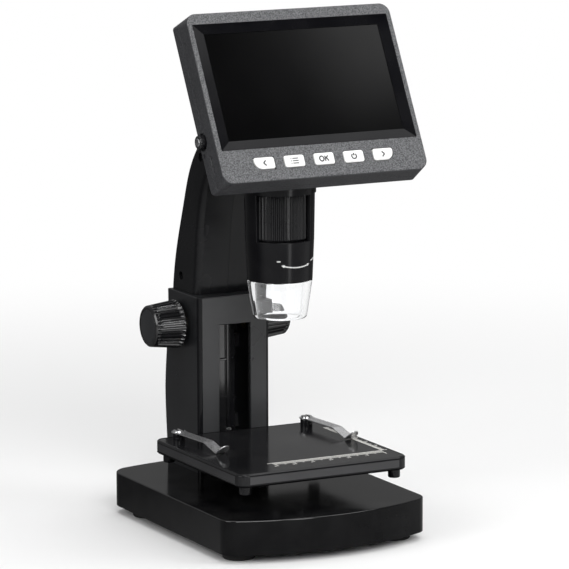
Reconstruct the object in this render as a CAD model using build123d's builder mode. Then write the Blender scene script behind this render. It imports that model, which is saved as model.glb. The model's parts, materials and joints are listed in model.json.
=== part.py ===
from build123d import *
from math import cos, hypot, pi, radians, sin, tan
import os

os.makedirs("parts", exist_ok=True)

# Millimetres. +Z is up, the front faces -Y, and the origin is under the middle of the feet.
# ---------------------------------------------------------------- clearances
GAP = 0.3  # between bodies that move past each other
RUN = 0.05  # radial clearance of a running fit
SEAT = 0.02  # radial clearance of a seated piece

# ---------------------------------------------------------------- foot
FOOT_HALF = 55.5
FEET_HEIGHT = 4.2
FEET_R = 8.0
FEET_X = FOOT_HALF - 12.5
FEET_Y = (-52.0, 48.0)
FOOT_FRONT_SIDE = -62.0
FOOT_FRONT_MID = -75.5
FOOT_REAR_SIDE = 66.0
FOOT_REAR_MID = 74.0
FOOT_FRONT_R = 9.0
FOOT_REAR_R = 12.0
FOOT_THICK = 17.2
FOOT_WALL = 2.6
FOOT_EDGE = 0.6
FOOT_TOP = FEET_HEIGHT + FOOT_THICK
FOOT_CEILING = FOOT_TOP - FOOT_WALL
COVER_THICK = 2.6
COVER_TOP = FEET_HEIGHT + COVER_THICK
WEIGHT_THICK = 7.0
WEIGHT_HALF = FOOT_HALF - 16.5
WEIGHT_Y = (-46.0, 38.0)
BASE_BOSS_R = 4.0
BASE_BOSS_X = FOOT_HALF - 9.0
BASE_BOSS_Y = (-28.0, 26.0)
BASE_SCREW_R = 1.4
BASE_HEAD_R = 2.9
BASE_HEAD = 1.5

# ---------------------------------------------------------------- column
COL_HALF = 20.0
COL_FRONT = 35.0
COL_KEEL = 1.0
COL_R = 2.5
COL_WALL = 2.5
COL_TOP = 111.4
COL_REAR = ((72.5, FOOT_TOP), (74.0, 40.0), (75.0, 60.0), (72.7, 82.0), (71.0, COL_TOP))
SLOT_HALF = 8.75
SLOT_TOP = 96.8
COL_FLOOR = 4.0
COL_FLOOR_FRONT = 52.0
BACK_THICK = 2.2
BACK_EDGE = 0.1
COL_SCREW_X = 12.0
COL_SCREW_Y = (56.5, 65.0)
COL_SCREW_R = 1.5
COL_HEAD_R = 3.0
COL_HEAD = 1.8
LUG_HALF = 3.5
LUG_DEEP = 5.0
LUG_REACH = 7.0
LUG_SCREW_R = 1.1
LUG_HEAD_R = 2.2
LUG_HEAD = 1.2

# ---------------------------------------------------------------- stage carriage
STAGE_HALF = 46.5
STAGE_Y = (-60.8, COL_FRONT - GAP)
STAGE_BOTTOM = 36.0
STAGE_TOP = 42.5
STAGE_R = 5.5
STAGE_EDGE = 0.5
POCKET_DEEP = 3.5
INNER_POCKETS_X = 24.5
INNER_POCKET = (20.0, 30.0)
INNER_POCKETS_Y = (-39.0, -3.0)
OUTER_POCKETS_X = STAGE_HALF - 6.5
OUTER_POCKET = (7.0, 24.0)
OUTER_POCKETS_Y = (-30.0, 0.0)
STUB_R = 3.0
STUB_LONG = 4.5
STUB_X = STAGE_HALF - 5.5
STUB_Y = (-55.5, 28.0)
ARM_PLATE_THICK = 3.5
ARM_PLATE_HALF = 11.0
ARM_PLATE_FRONT = -30.0
BRACKET_SCREW_X = ARM_PLATE_HALF - 4.0
BRACKET_SCREW_Y = (-22.0, 20.0)
BRACKET_SCREW_R = 1.3
BRACKET_HEAD_R = 2.5
BRACKET_HEAD = 1.2
NECK_HALF = SLOT_HALF - 0.45
NECK_BOTTOM = 31.8
NECK_TOP = 38.5
SHOE_WIDE = 4.6
SHOE_DEEP = 8.0
SHOE_TOP = 52.0
WEB_DEEP = 3.7
GUIDE_RAIL = 2.0
GUIDE_TOP = 103.4

# ---------------------------------------------------------------- rack, pinion and knobs
MODULE = 0.8
PINION_TEETH = 12
SHAFT_Z = 95.3
RACK_BACK = 51.6
RACK_THICK = 1.7
RACK_HALF = 7.0
RACK_TOP = 108.6
RACK_TOOTH_LOW = 43.0
DEDENDUM = 1.0
BACKLASH = 0.16
PITCH_R = MODULE * PINION_TEETH / 2
SHAFT_Y = RACK_BACK + DEDENDUM + PITCH_R
RACK_PITCH = pi * MODULE
PINION_HALF = 6.0
SHAFT_R = 2.5
SHAFT_HALF = 36.0
FIN_X = 3.2
FIN_WIDE = 2.5
FIN_DEEP = 1.5
RUNG_STEP = 19.5
RUNG_LOW = 56.7
RUNG_COUNT = 3
RUNG_HIGH = 1.0
FOOT_PLATE_HALF = 6.0
FOOT_PLATE_FRONT = 39.5
FOOT_PLATE_THICK = 2.0
RACK_SCREW_Y = 42.4
RACK_SCREW_R = 0.9
RACK_HEAD_R = 1.5
RACK_HEAD = 1.6
BUSH_R = 4.5
BUSH_FLANGE_R = 5.8
BUSH_FLANGE = 1.1
BUSH_COLLAR = 1.0
KNOB_IN = 21.7
KNOB_LONG = 16.5
KNOB_BIG_R = 12.3
KNOB_SMALL_R = 10.5
KNOB_FLUTES = 32
FLUTE_DEEP = 0.8
KNOB_LIP = 0.8
CAP_R = 8.4
CAP_DEEP = 0.8
WASHER_R = 5.4
WASHER_THICK = 0.5

# ---------------------------------------------------------------- stage clips
CLIP_X = STAGE_HALF - 10.4
CLIP_Y = 26.9
CLIP_POST_R = 3.1
CLIP_POST_TOP = 46.2
CLIP_TURN = 5.0
CLIP_WIDE = 5.8
CLIP_EYE_R = 3.7
CLIP_THICK = 0.5
CLIP_LIFT = 0.1
CLIP_BEND = 28.0
CLIP_TOUCH = 39.5
CLIP_END = 45.0
CLIP_LOW = GAP
CLIP_TIP_LIFT = 3.0
CLIP_HOLE_R = 1.7
CLIP_SCREW_R = 1.4
CLIP_HEAD_R = 2.7
CLIP_HEAD = 0.9

# ---------------------------------------------------------------- arm and head
ARM_HALF = 17.6
ARM_WALL = 2.1
ARM_KEEL = 1.0
ARM_R = 4.0
ARM_FRONT = ((43.9, COL_TOP), (43.1, 116.7), (39.7, 143.6), (35.4, 162.3), (29.2, 174.3))
ARM_BACK = (
    (70.1, COL_TOP),
    (66.1, 131.6),
    (57.7, 155.8),
    (50.2, 174.5),
    (43.1, 184.7),
    (31.0, 195.5),
    (14.0, 203.0),
    (-10.0, 206.5),
)
HEAD_BOTTOM = 177.0
HEAD_TOP = 206.5
HEAD_FRONT = -21.4
HEAD_NECK_Y = 27.4
SPIGOT_HALF = 14.7
SPIGOT_Y = (45.7, 66.8)
SPIGOT_DROP = 7.4
SPIGOT_WALL = 1.7
ARM_SCREWS = ((61.0, 119.0), (38.0, 182.4), (14.0, 192.5))
ARM_BOSS_R = 3.1
ARM_SCREW_R = 1.0
ARM_HEAD_R = 2.2
ARM_HEAD = 1.5
ARM_RECESS = 3.0

# ---------------------------------------------------------------- optical barrel
BARREL_Y = -13.5
NOSE_BOTTOM = 108.5
NOSE_TOP = 127.5
NOSE_BOTTOM_R = 13.25
NOSE_TOP_R = 16.15
NOSE_WALL = 2.3
NOSE_NECK_R = 13.85
NOSE_NECK = 2.0
NOSE_ROUND = 1.0
BOARD_THICK = 1.2
LED_COUNT = 8
LED_R = 1.5
LED_RING_R = 10.4
LED_HOLE_R = 7.0
COWL_STEP_Z = 147.7
COWL_STEP_R = 17.0
COWL_TOP_Z = 170.7
COWL_TOP_R = 17.4
COLLAR_R = 18.0
COWL_SPIGOT_R = 16.6
COWL_SPIGOT_TOP = 190.0
COWL_LEDGE_R = 12.9
COWL_LEDGE = 2.0
RING_POCKET_R = 15.0
RING_R = 14.7
RING_BORE_R = 12.5
RING_RIBS = 48
RING_GROOVE = 0.5
WINDOW_MID = 17.5
WINDOW_HALF = 51.5
CARRIER_R = 12.1
CARRIER_BORE_R = 9.0
CARRIER_Z = (135.5, 166.0)
LENS_R = 8.9
LENS_EDGE = 1.6
LENS_BULGE = 2.4
SLEEVE_BORE_R = 12.9
SLEEVE_TOP = 184.0
SENSOR_HALF = 4.5
HEAD_BOSS_R = 19.0
HEAD_BOSS_TOP = 192.5
HEAD_LIP_R = 13.5

# ---------------------------------------------------------------- monitor
SCREEN_TILT = 28.34
SCREEN_CENTRE = (0.0, -39.87, 227.58)
LCD_WIDE = 95.04
LCD_HIGH = 55.1
FRAME_WIDE = 5.43
FRAME_HIGH = 4.9
WINDOW_WIDE = LCD_WIDE + 2 * FRAME_WIDE
WINDOW_HIGH = LCD_HIGH + 2 * FRAME_HIGH
BEZEL_SIDE = 2.55
BEZEL_TOP = 5.65
BEZEL_LOW = 16.65
BODY_HALF = WINDOW_WIDE / 2 + BEZEL_SIDE
BODY_LOW = -WINDOW_HIGH / 2 - BEZEL_LOW
BODY_HIGH = WINDOW_HIGH / 2 + BEZEL_TOP
BODY_R = 5.5
BODY_SEAM_R = 3.4
BODY_REAR_R = 2.0
BODY_FRONT = 1.0
BODY_SEAM = -9.0
BODY_REAR = -15.5
BODY_WALL = 2.0
BODY_EDGE = 0.7
REAR_EDGE = 0.8
FRAME_LIP = 0.1
FRAME_FLANGE = 1.45
FRAME_CLEAR = 0.5
FRAME_SEAT = -0.4
PANEL_OVER = 2.0
PANEL_THICK = 4.6
KEY_STEP = 16.1
KEY_U = BODY_LOW + 9.0
KEY_WIDE = 10.8
KEY_HIGH = 6.0
KEY_R = 1.2
KEY_BIG_R = 4.2
KEY_PROUD = 0.5
KEY_FLANGE = 0.8
KEY_FLANGE_OVER = 0.7
KEYS = ("key_left", "key_menu", "key_ok", "key_power", "key_right")
KEY_BOARD_TOP = -4.4
KEY_BOARD_HALF = 2 * KEY_STEP + KEY_WIDE / 2 + 1.2
KEY_POST_R = 1.5
MAIN_BOARD_TOP = -8.2
MAIN_BOARD_THICK = 1.6
MAIN_BOARD_HALF = BODY_HALF - 11.5
MAIN_BOARD_U = (-32.0, 31.0)
BOARD_POST_X = MAIN_BOARD_HALF - 6.0
BOARD_POST_U = (-27.0, 25.0)
BOARD_POST_R = 2.6
CASE_SCREW_X = BODY_HALF - 7.5
CASE_SCREW_U = BODY_LOW + 4.6
CASE_POST_R = 2.4
SMALL_SCREW_R = 1.0
SMALL_HEAD_R = 1.9
SMALL_HEAD = 1.2
SLOT_U = (-41.0, -32.0)
SLOT_N = -6.7
SLOT_WIDE = 1.2
SOCKET_LONG = 13.0
SOCKET_MOUTH = 12.0
SOCKET_OVER = 1.5
USB_LONG = 12.0
USB_MOUTH = 10.0
USB_SHELL = 0.5
POT_LONG = 5.0
BATTERY = (46.0, 32.0)
BATTERY_U = 10.0
HINGE_PLATE = (36.0, 18.0)
HINGE_PLATE_U = 2.0
DIAL_U = -23.0
DIAL_N = -11.0
DIAL_R = 3.4
DIAL_PROUD = 3.0
DIAL_RECESS_R = 4.4
DIAL_RECESS = 1.2
DIAL_STEM_R = 1.5
USB_U = -26.0
USB_WIDE = 8.0
USB_HIGH = 2.8
JACK_U = -29.5
JACK_N = -13.0
JACK_R = 1.2
HINGE_U = -18.0
HINGE_R = 6.5
HINGE_HALF = 9.5
HINGE_SIDE = 0.4
EAR_WIDE = 4.5
PIN_R = 1.5

SCREEN_UP = (sin(radians(SCREEN_TILT)), cos(radians(SCREEN_TILT)))
BARREL_PLANE = Plane.XZ.offset(-BARREL_Y)
BARREL_AXIS = Axis((0, BARREL_Y, 0), (0, 0, 1))


def screen_point(u, n):
    """Y and Z of a point u up the screen and n out of its glass."""
    y = SCREEN_CENTRE[1] + u * SCREEN_UP[0] - n * SCREEN_UP[1]
    z = SCREEN_CENTRE[2] + u * SCREEN_UP[1] + n * SCREEN_UP[0]
    return y, z


def screen_plane(n):
    """Plane parallel to the screen, x along +X and y up the screen."""
    y, z = screen_point(0, n)
    return Plane(origin=(0, y, z), x_dir=(1, 0, 0), z_dir=(0, -SCREEN_UP[1], SCREEN_UP[0]))


def side_plane(x):
    """Plane across X, with its x along +Y and its y along +Z."""
    return Plane.YZ.offset(x)


def screen_side_plane(x):
    """Plane across X, with its x along the screen's up direction and its y into the screen."""
    y, z = screen_point(0, 0)
    return Plane(origin=(x, y, z), x_dir=(0, SCREEN_UP[0], SCREEN_UP[1]), z_dir=(1, 0, 0))


HINGE_N = BODY_REAR - HINGE_R
HINGE_Y, HINGE_Z = screen_point(HINGE_U, HINGE_N)


# ================================================================ foot
def foot_outline(inset):
    """The foot's plan, drawn in by inset all round."""
    half = FOOT_HALF - inset
    front_side, front_mid = FOOT_FRONT_SIDE + inset, FOOT_FRONT_MID + inset
    rear_side, rear_mid = FOOT_REAR_SIDE - inset, FOOT_REAR_MID - inset
    with BuildLine() as edge:
        ThreePointArc((-half, front_side), (0, front_mid), (half, front_side))
        Line((half, front_side), (half, rear_side))
        ThreePointArc((half, rear_side), (0, rear_mid), (-half, rear_side))
        Line((-half, rear_side), (-half, front_side))
    make_face(edge.edges())
    corners = vertices().sort_by(Axis.Y)
    fillet(corners[:2], FOOT_FRONT_R - inset)
    corners = vertices().sort_by(Axis.Y)
    fillet(corners[-2:], FOOT_REAR_R - inset)


BASE_BOSSES = [(x, y) for x in (-BASE_BOSS_X, BASE_BOSS_X) for y in BASE_BOSS_Y]
FEET = [(x, y) for x in (-FEET_X, FEET_X) for y in FEET_Y]
COLUMN_SCREWS = [(x, y) for x in (-COL_SCREW_X, COL_SCREW_X) for y in COL_SCREW_Y]

# The moulded foot, open below, with four screw bosses and the column's screw holes.
with BuildPart() as base_shell:
    with BuildSketch(Plane.XY.offset(FEET_HEIGHT)):
        foot_outline(0)
    extrude(amount=FOOT_THICK)
    fillet(faces().sort_by(Axis.Z)[-1].edges(), FOOT_EDGE)
    with BuildSketch(Plane.XY.offset(FEET_HEIGHT)):
        foot_outline(FOOT_WALL)
    extrude(amount=FOOT_THICK - FOOT_WALL, mode=Mode.SUBTRACT)
    with BuildSketch(Plane.XY.offset(COVER_TOP)):
        with Locations(*BASE_BOSSES):
            Circle(BASE_BOSS_R)
    extrude(amount=FOOT_CEILING - COVER_TOP)
    with BuildSketch(Plane.XY.offset(COVER_TOP)):
        with Locations(*BASE_BOSSES):
            Circle(BASE_SCREW_R + SEAT)
    extrude(amount=FOOT_CEILING - COVER_TOP, mode=Mode.SUBTRACT)
    with BuildSketch(Plane.XY.offset(FOOT_CEILING)):
        with Locations(*COLUMN_SCREWS):
            Circle(COL_SCREW_R + GAP)
    extrude(amount=FOOT_WALL, mode=Mode.SUBTRACT)

base_shell.part.label = "base_shell"
export_step(base_shell.part, "parts/base_shell.step")

# The plate that closes the foot, with counterbored screw holes.
with BuildPart() as base_bottom_cover:
    with BuildSketch(Plane.XY.offset(FEET_HEIGHT)):
        foot_outline(FOOT_WALL + SEAT)
        with Locations(*BASE_BOSSES):
            Circle(BASE_SCREW_R + GAP, mode=Mode.SUBTRACT)
    extrude(amount=COVER_THICK)
    with BuildSketch(Plane.XY.offset(FEET_HEIGHT)):
        with Locations(*BASE_BOSSES):
            Circle(BASE_HEAD_R + GAP)
    extrude(amount=BASE_HEAD, mode=Mode.SUBTRACT)

base_bottom_cover.part.label = "base_bottom_cover"
export_step(base_bottom_cover.part, "parts/base_bottom_cover.step")

with BuildPart() as base_weight:
    with BuildSketch(Plane.XY.offset(COVER_TOP)):
        with Locations((0, (WEIGHT_Y[0] + WEIGHT_Y[1]) / 2)):
            RectangleRounded(2 * WEIGHT_HALF, WEIGHT_Y[1] - WEIGHT_Y[0], FOOT_FRONT_R)
    extrude(amount=WEIGHT_THICK)
    chamfer(faces().sort_by(Axis.Z)[-1].edges(), FOOT_EDGE)

base_weight.part.label = "base_weight"
export_step(base_weight.part, "parts/base_weight.step")

with BuildPart() as base_feet:
    with BuildSketch(Plane.XY):
        with Locations(*FEET):
            Circle(FEET_R)
    extrude(amount=FEET_HEIGHT)
    chamfer(faces().filter_by(Plane.XY).group_by(Axis.Z)[0].edges(), FOOT_EDGE)

base_feet.part.label = "base_feet"
export_step(base_feet.part, "parts/base_feet.step")

with BuildPart() as base_screws:
    with BuildSketch(Plane.XY.offset(FEET_HEIGHT)):
        with Locations(*BASE_BOSSES):
            Circle(BASE_HEAD_R)
    extrude(amount=BASE_HEAD)
    with BuildSketch(Plane.XY.offset(FEET_HEIGHT + BASE_HEAD)):
        with Locations(*BASE_BOSSES):
            Circle(BASE_SCREW_R)
    extrude(amount=FOOT_THICK / 2)

base_screws.part.label = "base_screws"
export_step(base_screws.part, "parts/base_screws.step")


# ================================================================ column
def rear_band(outside, inside, low, high):
    """Strip of the column's side view that follows its bulged back between two insets."""
    with BuildLine() as edge:
        Spline([(y - outside, z) for y, z in COL_REAR])
        Spline([(y - inside, z) for y, z in COL_REAR])
        Line((COL_REAR[0][0] - outside, FOOT_TOP), (COL_REAR[0][0] - inside, FOOT_TOP))
        Line((COL_REAR[-1][0] - outside, COL_TOP), (COL_REAR[-1][0] - inside, COL_TOP))
    make_face(edge.edges())
    with Locations((COL_REAR[2][0], (low + high) / 2)):
        Rectangle(2 * COL_REAR[2][0], high - low, mode=Mode.INTERSECT)


COL_INSIDE = COL_HALF - COL_WALL
COL_CEILING = COL_TOP - COL_WALL
SHOE_FRONT = COL_FRONT + COL_WALL + GAP
SHOE_OUTSIDE = COL_INSIDE - GAP
GUIDE_FRONT = SHOE_FRONT + SHOE_DEEP + GAP
SPIGOT_MID = (SPIGOT_Y[0] + SPIGOT_Y[1]) / 2
SPIGOT_DEEP = SPIGOT_Y[1] - SPIGOT_Y[0]
LUGS = (COL_REAR[1], COL_REAR[3])
LUG_X = COL_INSIDE - LUG_REACH / 2

# The column's front and sides, with the carriage slot, the deck for the arm, the guide rails
# behind the shoes, and the rests and lugs for the back panel.
with BuildPart() as column_shell:
    with BuildSketch(Plane.XY.offset(FOOT_TOP)):
        with BuildLine():
            Polyline(
                (-COL_HALF, FOOT_REAR_MID + COL_WALL),
                (-COL_HALF, COL_FRONT + COL_KEEL),
                (0, COL_FRONT),
                (COL_HALF, COL_FRONT + COL_KEEL),
                (COL_HALF, FOOT_REAR_MID + COL_WALL),
                close=True,
            )
        make_face()
        fillet(vertices().group_by(Axis.Y)[1], COL_R)
    extrude(amount=COL_TOP - FOOT_TOP)
    with BuildSketch(side_plane(0)):
        rear_band(0, FOOT_HALF, FOOT_TOP, COL_TOP)
    extrude(amount=COL_HALF, both=True, mode=Mode.INTERSECT)
    with BuildSketch(Plane.XY.offset(FOOT_TOP)):
        with Locations((0, COL_FRONT + COL_WALL)):
            Rectangle(2 * COL_INSIDE, FOOT_HALF, align=(Align.CENTER, Align.MIN))
    extrude(amount=COL_CEILING - FOOT_TOP, mode=Mode.SUBTRACT)
    with BuildSketch(Plane.XY.offset(FOOT_TOP)):
        with Locations((0, COL_FLOOR_FRONT)):
            Rectangle(
                2 * COL_INSIDE,
                COL_REAR[0][0] - BACK_THICK - SEAT - COL_FLOOR_FRONT,
                align=(Align.CENTER, Align.MIN),
            )
        with Locations(*COLUMN_SCREWS):
            Circle(COL_SCREW_R + SEAT, mode=Mode.SUBTRACT)
    extrude(amount=COL_FLOOR)
    for side in (-1, 1):
        with BuildSketch(Plane.XY.offset(FOOT_TOP)):
            with Locations((side * (COL_INSIDE - SHOE_WIDE / 2), GUIDE_FRONT + GUIDE_RAIL / 2)):
                Rectangle(SHOE_WIDE, GUIDE_RAIL)
        extrude(amount=GUIDE_TOP - FOOT_TOP)
        with BuildSketch(side_plane(side * COL_INSIDE)):
            rear_band(BACK_THICK, BACK_THICK + GUIDE_RAIL, FOOT_TOP, COL_CEILING)
        extrude(amount=-side * GUIDE_RAIL)
        for rear, lug in LUGS:
            with BuildSketch(side_plane(side * COL_INSIDE)):
                rear_band(BACK_THICK, BACK_THICK + LUG_DEEP, lug - LUG_HALF, lug + LUG_HALF)
            extrude(amount=-side * LUG_REACH)
            with BuildSketch(Plane.XZ.offset(-rear)):
                with Locations((side * LUG_X, lug)):
                    Circle(LUG_SCREW_R + SEAT)
            extrude(amount=BACK_THICK + 2 * LUG_DEEP, mode=Mode.SUBTRACT)
    with BuildSketch(Plane.XZ.offset(-COL_FRONT - COL_WALL)):
        with Locations((0, FOOT_TOP)):
            Rectangle(2 * SLOT_HALF, SLOT_TOP - FOOT_TOP, align=(Align.CENTER, Align.MIN))
    extrude(amount=2 * COL_WALL, mode=Mode.SUBTRACT)
    with BuildSketch(Plane.XY.offset(COL_CEILING)):
        with Locations((0, SPIGOT_MID)):
            RectangleRounded(
                2 * (SPIGOT_HALF + SEAT), SPIGOT_DEEP + 2 * SEAT, COL_R
            )
    extrude(amount=COL_WALL, mode=Mode.SUBTRACT)
    with BuildSketch(side_plane(0)):
        with Locations((SHAFT_Y, SHAFT_Z)):
            Circle(BUSH_R + SEAT)
    extrude(amount=COL_HALF, both=True, mode=Mode.SUBTRACT)

column_shell.part.label = "column_shell"
export_step(column_shell.part, "parts/column_shell.step")

# The bulged panel that closes the column's back between the side walls.
with BuildPart() as column_back_cover:
    with BuildSketch(side_plane(0)):
        rear_band(0, BACK_THICK - SEAT, FOOT_TOP + SEAT, COL_CEILING - SEAT)
    extrude(amount=COL_INSIDE - BACK_EDGE, both=True)
    for rear, lug in LUGS:
        with BuildSketch(Plane.XZ.offset(-rear - LUG_HEAD)):
            with Locations((-LUG_X, lug), (LUG_X, lug)):
                Circle(LUG_SCREW_R + SEAT)
        extrude(amount=2 * BACK_THICK, mode=Mode.SUBTRACT)
        with BuildSketch(Plane.XZ.offset(-rear - LUG_HEAD)):
            with Locations((-LUG_X, lug), (LUG_X, lug)):
                Circle(LUG_HEAD_R + SEAT)
        extrude(amount=2 * LUG_HEAD, mode=Mode.SUBTRACT)

column_back_cover.part.label = "column_back_cover"
export_step(column_back_cover.part, "parts/column_back_cover.step")

with BuildPart() as cover_screws:
    for rear, lug in LUGS:
        with BuildSketch(Plane.XZ.offset(-rear)):
            with Locations((-LUG_X, lug), (LUG_X, lug)):
                Circle(LUG_HEAD_R)
        extrude(amount=LUG_HEAD)
        with BuildSketch(Plane.XZ.offset(-rear)):
            with Locations((-LUG_X, lug), (LUG_X, lug)):
                Circle(LUG_SCREW_R)
        extrude(amount=BACK_THICK + LUG_DEEP)

cover_screws.part.label = "cover_screws"
export_step(cover_screws.part, "parts/cover_screws.step")

with BuildPart() as column_screws:
    with BuildSketch(Plane.XY.offset(FOOT_CEILING - COL_HEAD)):
        with Locations(*COLUMN_SCREWS):
            Circle(COL_HEAD_R)
    extrude(amount=COL_HEAD)
    with BuildSketch(Plane.XY.offset(FOOT_CEILING)):
        with Locations(*COLUMN_SCREWS):
            Circle(COL_SCREW_R)
    extrude(amount=FOOT_WALL + COL_FLOOR)

column_screws.part.label = "column_screws"
export_step(column_screws.part, "parts/column_screws.step")

# Two flanged bushes that carry the knob shaft in the side walls.
with BuildPart() as shaft_bushes:
    for side in (-1, 1):
        with BuildSketch(side_plane(side * COL_INSIDE)):
            with Locations((SHAFT_Y, SHAFT_Z)):
                Circle(BUSH_R)
        extrude(amount=side * (COL_WALL + BUSH_COLLAR))
        with BuildSketch(side_plane(side * COL_INSIDE)):
            with Locations((SHAFT_Y, SHAFT_Z)):
                Circle(BUSH_FLANGE_R)
        extrude(amount=-side * BUSH_FLANGE)
    with BuildSketch(side_plane(0)):
        with Locations((SHAFT_Y, SHAFT_Z)):
            Circle(SHAFT_R + RUN)
    extrude(amount=SHAFT_HALF, both=True, mode=Mode.SUBTRACT)

shaft_bushes.part.label = "shaft_bushes"
export_step(shaft_bushes.part, "parts/shaft_bushes.step")


# ================================================================ stage carriage
STAGE_MID = (STAGE_Y[0] + STAGE_Y[1]) / 2
STAGE_DEEP = STAGE_Y[1] - STAGE_Y[0]
STUBS = [(x, y) for x in (-STUB_X, STUB_X) for y in STUB_Y]
CLIP_POSTS = [(-CLIP_X, CLIP_Y), (CLIP_X, CLIP_Y)]
NECK_BACK = RACK_BACK - RACK_THICK
BRACKET_SCREWS = [(x, y) for x in (-BRACKET_SCREW_X, BRACKET_SCREW_X) for y in BRACKET_SCREW_Y]

# The table, pocketed below between ribs.
with BuildPart() as stage_plate:
    with BuildSketch(Plane.XY.offset(STAGE_BOTTOM)):
        with Locations((0, STAGE_MID)):
            RectangleRounded(2 * STAGE_HALF, STAGE_DEEP, STAGE_R)
    extrude(amount=STAGE_TOP - STAGE_BOTTOM)
    chamfer(faces().filter_by(Plane.XY).edges(), STAGE_EDGE)
    with BuildSketch(Plane.XY.offset(STAGE_BOTTOM)):
        for side in (-1, 1):
            with Locations(*[(side * INNER_POCKETS_X, y) for y in INNER_POCKETS_Y]):
                RectangleRounded(*INNER_POCKET, COL_R)
            with Locations(*[(side * OUTER_POCKETS_X, y) for y in OUTER_POCKETS_Y]):
                RectangleRounded(*OUTER_POCKET, COL_R)
    extrude(amount=POCKET_DEEP, mode=Mode.SUBTRACT)
    with BuildSketch(Plane.XY.offset(STAGE_BOTTOM)):
        with Locations(*BRACKET_SCREWS):
            Circle(BRACKET_SCREW_R + SEAT)
    extrude(amount=POCKET_DEEP, mode=Mode.SUBTRACT)
    with BuildSketch(Plane.XY.offset(STAGE_TOP)):
        with Locations(*CLIP_POSTS):
            Circle(CLIP_SCREW_R + SEAT)
    extrude(amount=-POCKET_DEEP, mode=Mode.SUBTRACT)

stage_plate.part.label = "stage_plate"
export_step(stage_plate.part, "parts/stage_plate.step")

# The carriage: a plate under the table, a neck through the slot, and a guide shoe each side.
with BuildPart() as stage_bracket:
    with BuildSketch(Plane.XY.offset(STAGE_BOTTOM - ARM_PLATE_THICK)):
        with Locations((0, ARM_PLATE_FRONT)):
            Rectangle(
                2 * ARM_PLATE_HALF,
                STAGE_Y[1] - ARM_PLATE_FRONT,
                align=(Align.CENTER, Align.MIN),
            )
        fillet(vertices().group_by(Axis.Y)[0], COL_R)
        with Locations((0, 0)):
            Rectangle(2 * NECK_HALF, NECK_BACK, align=(Align.CENTER, Align.MIN))
    extrude(amount=ARM_PLATE_THICK)
    with BuildSketch(Plane.XY.offset(NECK_BOTTOM)):
        with Locations((0, STAGE_Y[1] + SEAT)):
            Rectangle(
                2 * NECK_HALF,
                NECK_BACK - STAGE_Y[1] - SEAT,
                align=(Align.CENTER, Align.MIN),
            )
        with Locations((0, SHOE_FRONT)):
            Rectangle(2 * SHOE_OUTSIDE, WEB_DEEP, align=(Align.CENTER, Align.MIN))
    extrude(amount=NECK_TOP - NECK_BOTTOM)
    with BuildSketch(Plane.XY.offset(NECK_BOTTOM)):
        for side in (-1, 1):
            with Locations((side * (SHOE_OUTSIDE - SHOE_WIDE / 2), SHOE_FRONT + SHOE_DEEP / 2)):
                Rectangle(SHOE_WIDE, SHOE_DEEP)
    extrude(amount=SHOE_TOP - NECK_BOTTOM)
    with BuildSketch(Plane.XY.offset(STAGE_BOTTOM - ARM_PLATE_THICK)):
        with Locations(*BRACKET_SCREWS):
            Circle(BRACKET_SCREW_R + SEAT)
    extrude(amount=ARM_PLATE_THICK, mode=Mode.SUBTRACT)
    with BuildSketch(Plane.XY.offset(NECK_TOP)):
        with Locations((0, RACK_SCREW_Y)):
            Circle(RACK_SCREW_R + SEAT)
    extrude(amount=-(NECK_TOP - NECK_BOTTOM) + 1.0, mode=Mode.SUBTRACT)

stage_bracket.part.label = "stage_bracket"
export_step(stage_bracket.part, "parts/stage_bracket.step")

with BuildPart() as bracket_screws:
    with BuildSketch(Plane.XY.offset(STAGE_BOTTOM - ARM_PLATE_THICK)):
        with Locations(*BRACKET_SCREWS):
            Circle(BRACKET_HEAD_R)
    extrude(amount=-BRACKET_HEAD)
    with BuildSketch(Plane.XY.offset(STAGE_BOTTOM - ARM_PLATE_THICK)):
        with Locations(*BRACKET_SCREWS):
            Circle(BRACKET_SCREW_R)
    extrude(amount=ARM_PLATE_THICK + POCKET_DEEP - 0.5)

bracket_screws.part.label = "bracket_screws"
export_step(bracket_screws.part, "parts/bracket_screws.step")

with BuildPart() as stage_stubs:
    with BuildSketch(Plane.XY.offset(STAGE_BOTTOM)):
        with Locations(*STUBS):
            Circle(STUB_R)
    extrude(amount=-STUB_LONG)
    chamfer(faces().filter_by(Plane.XY).group_by(Axis.Z)[0].edges(), STAGE_EDGE)

stage_stubs.part.label = "stage_stubs"
export_step(stage_stubs.part, "parts/stage_stubs.step")

# The rack: a toothed strip with a finned, runged front like a ladder, on an angled foot.
RACK_PITCH_Y = RACK_BACK + DEDENDUM
TOOTH_SLOPE = tan(radians(20))
TOOTH_HALF = RACK_PITCH / 4 - BACKLASH / 2
TOOTH_FEET_Z = TOOTH_HALF + DEDENDUM * TOOTH_SLOPE
TOOTH_TIP_Z = TOOTH_HALF - MODULE * TOOTH_SLOPE
FIN_FRONT = RACK_BACK - RACK_THICK - FIN_DEEP
TEETH_DOWN = int((SHAFT_Z - RACK_TOOTH_LOW) / RACK_PITCH)
TEETH_UP = int((RACK_TOP - TOOTH_FEET_Z - SHAFT_Z) / RACK_PITCH)

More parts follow.
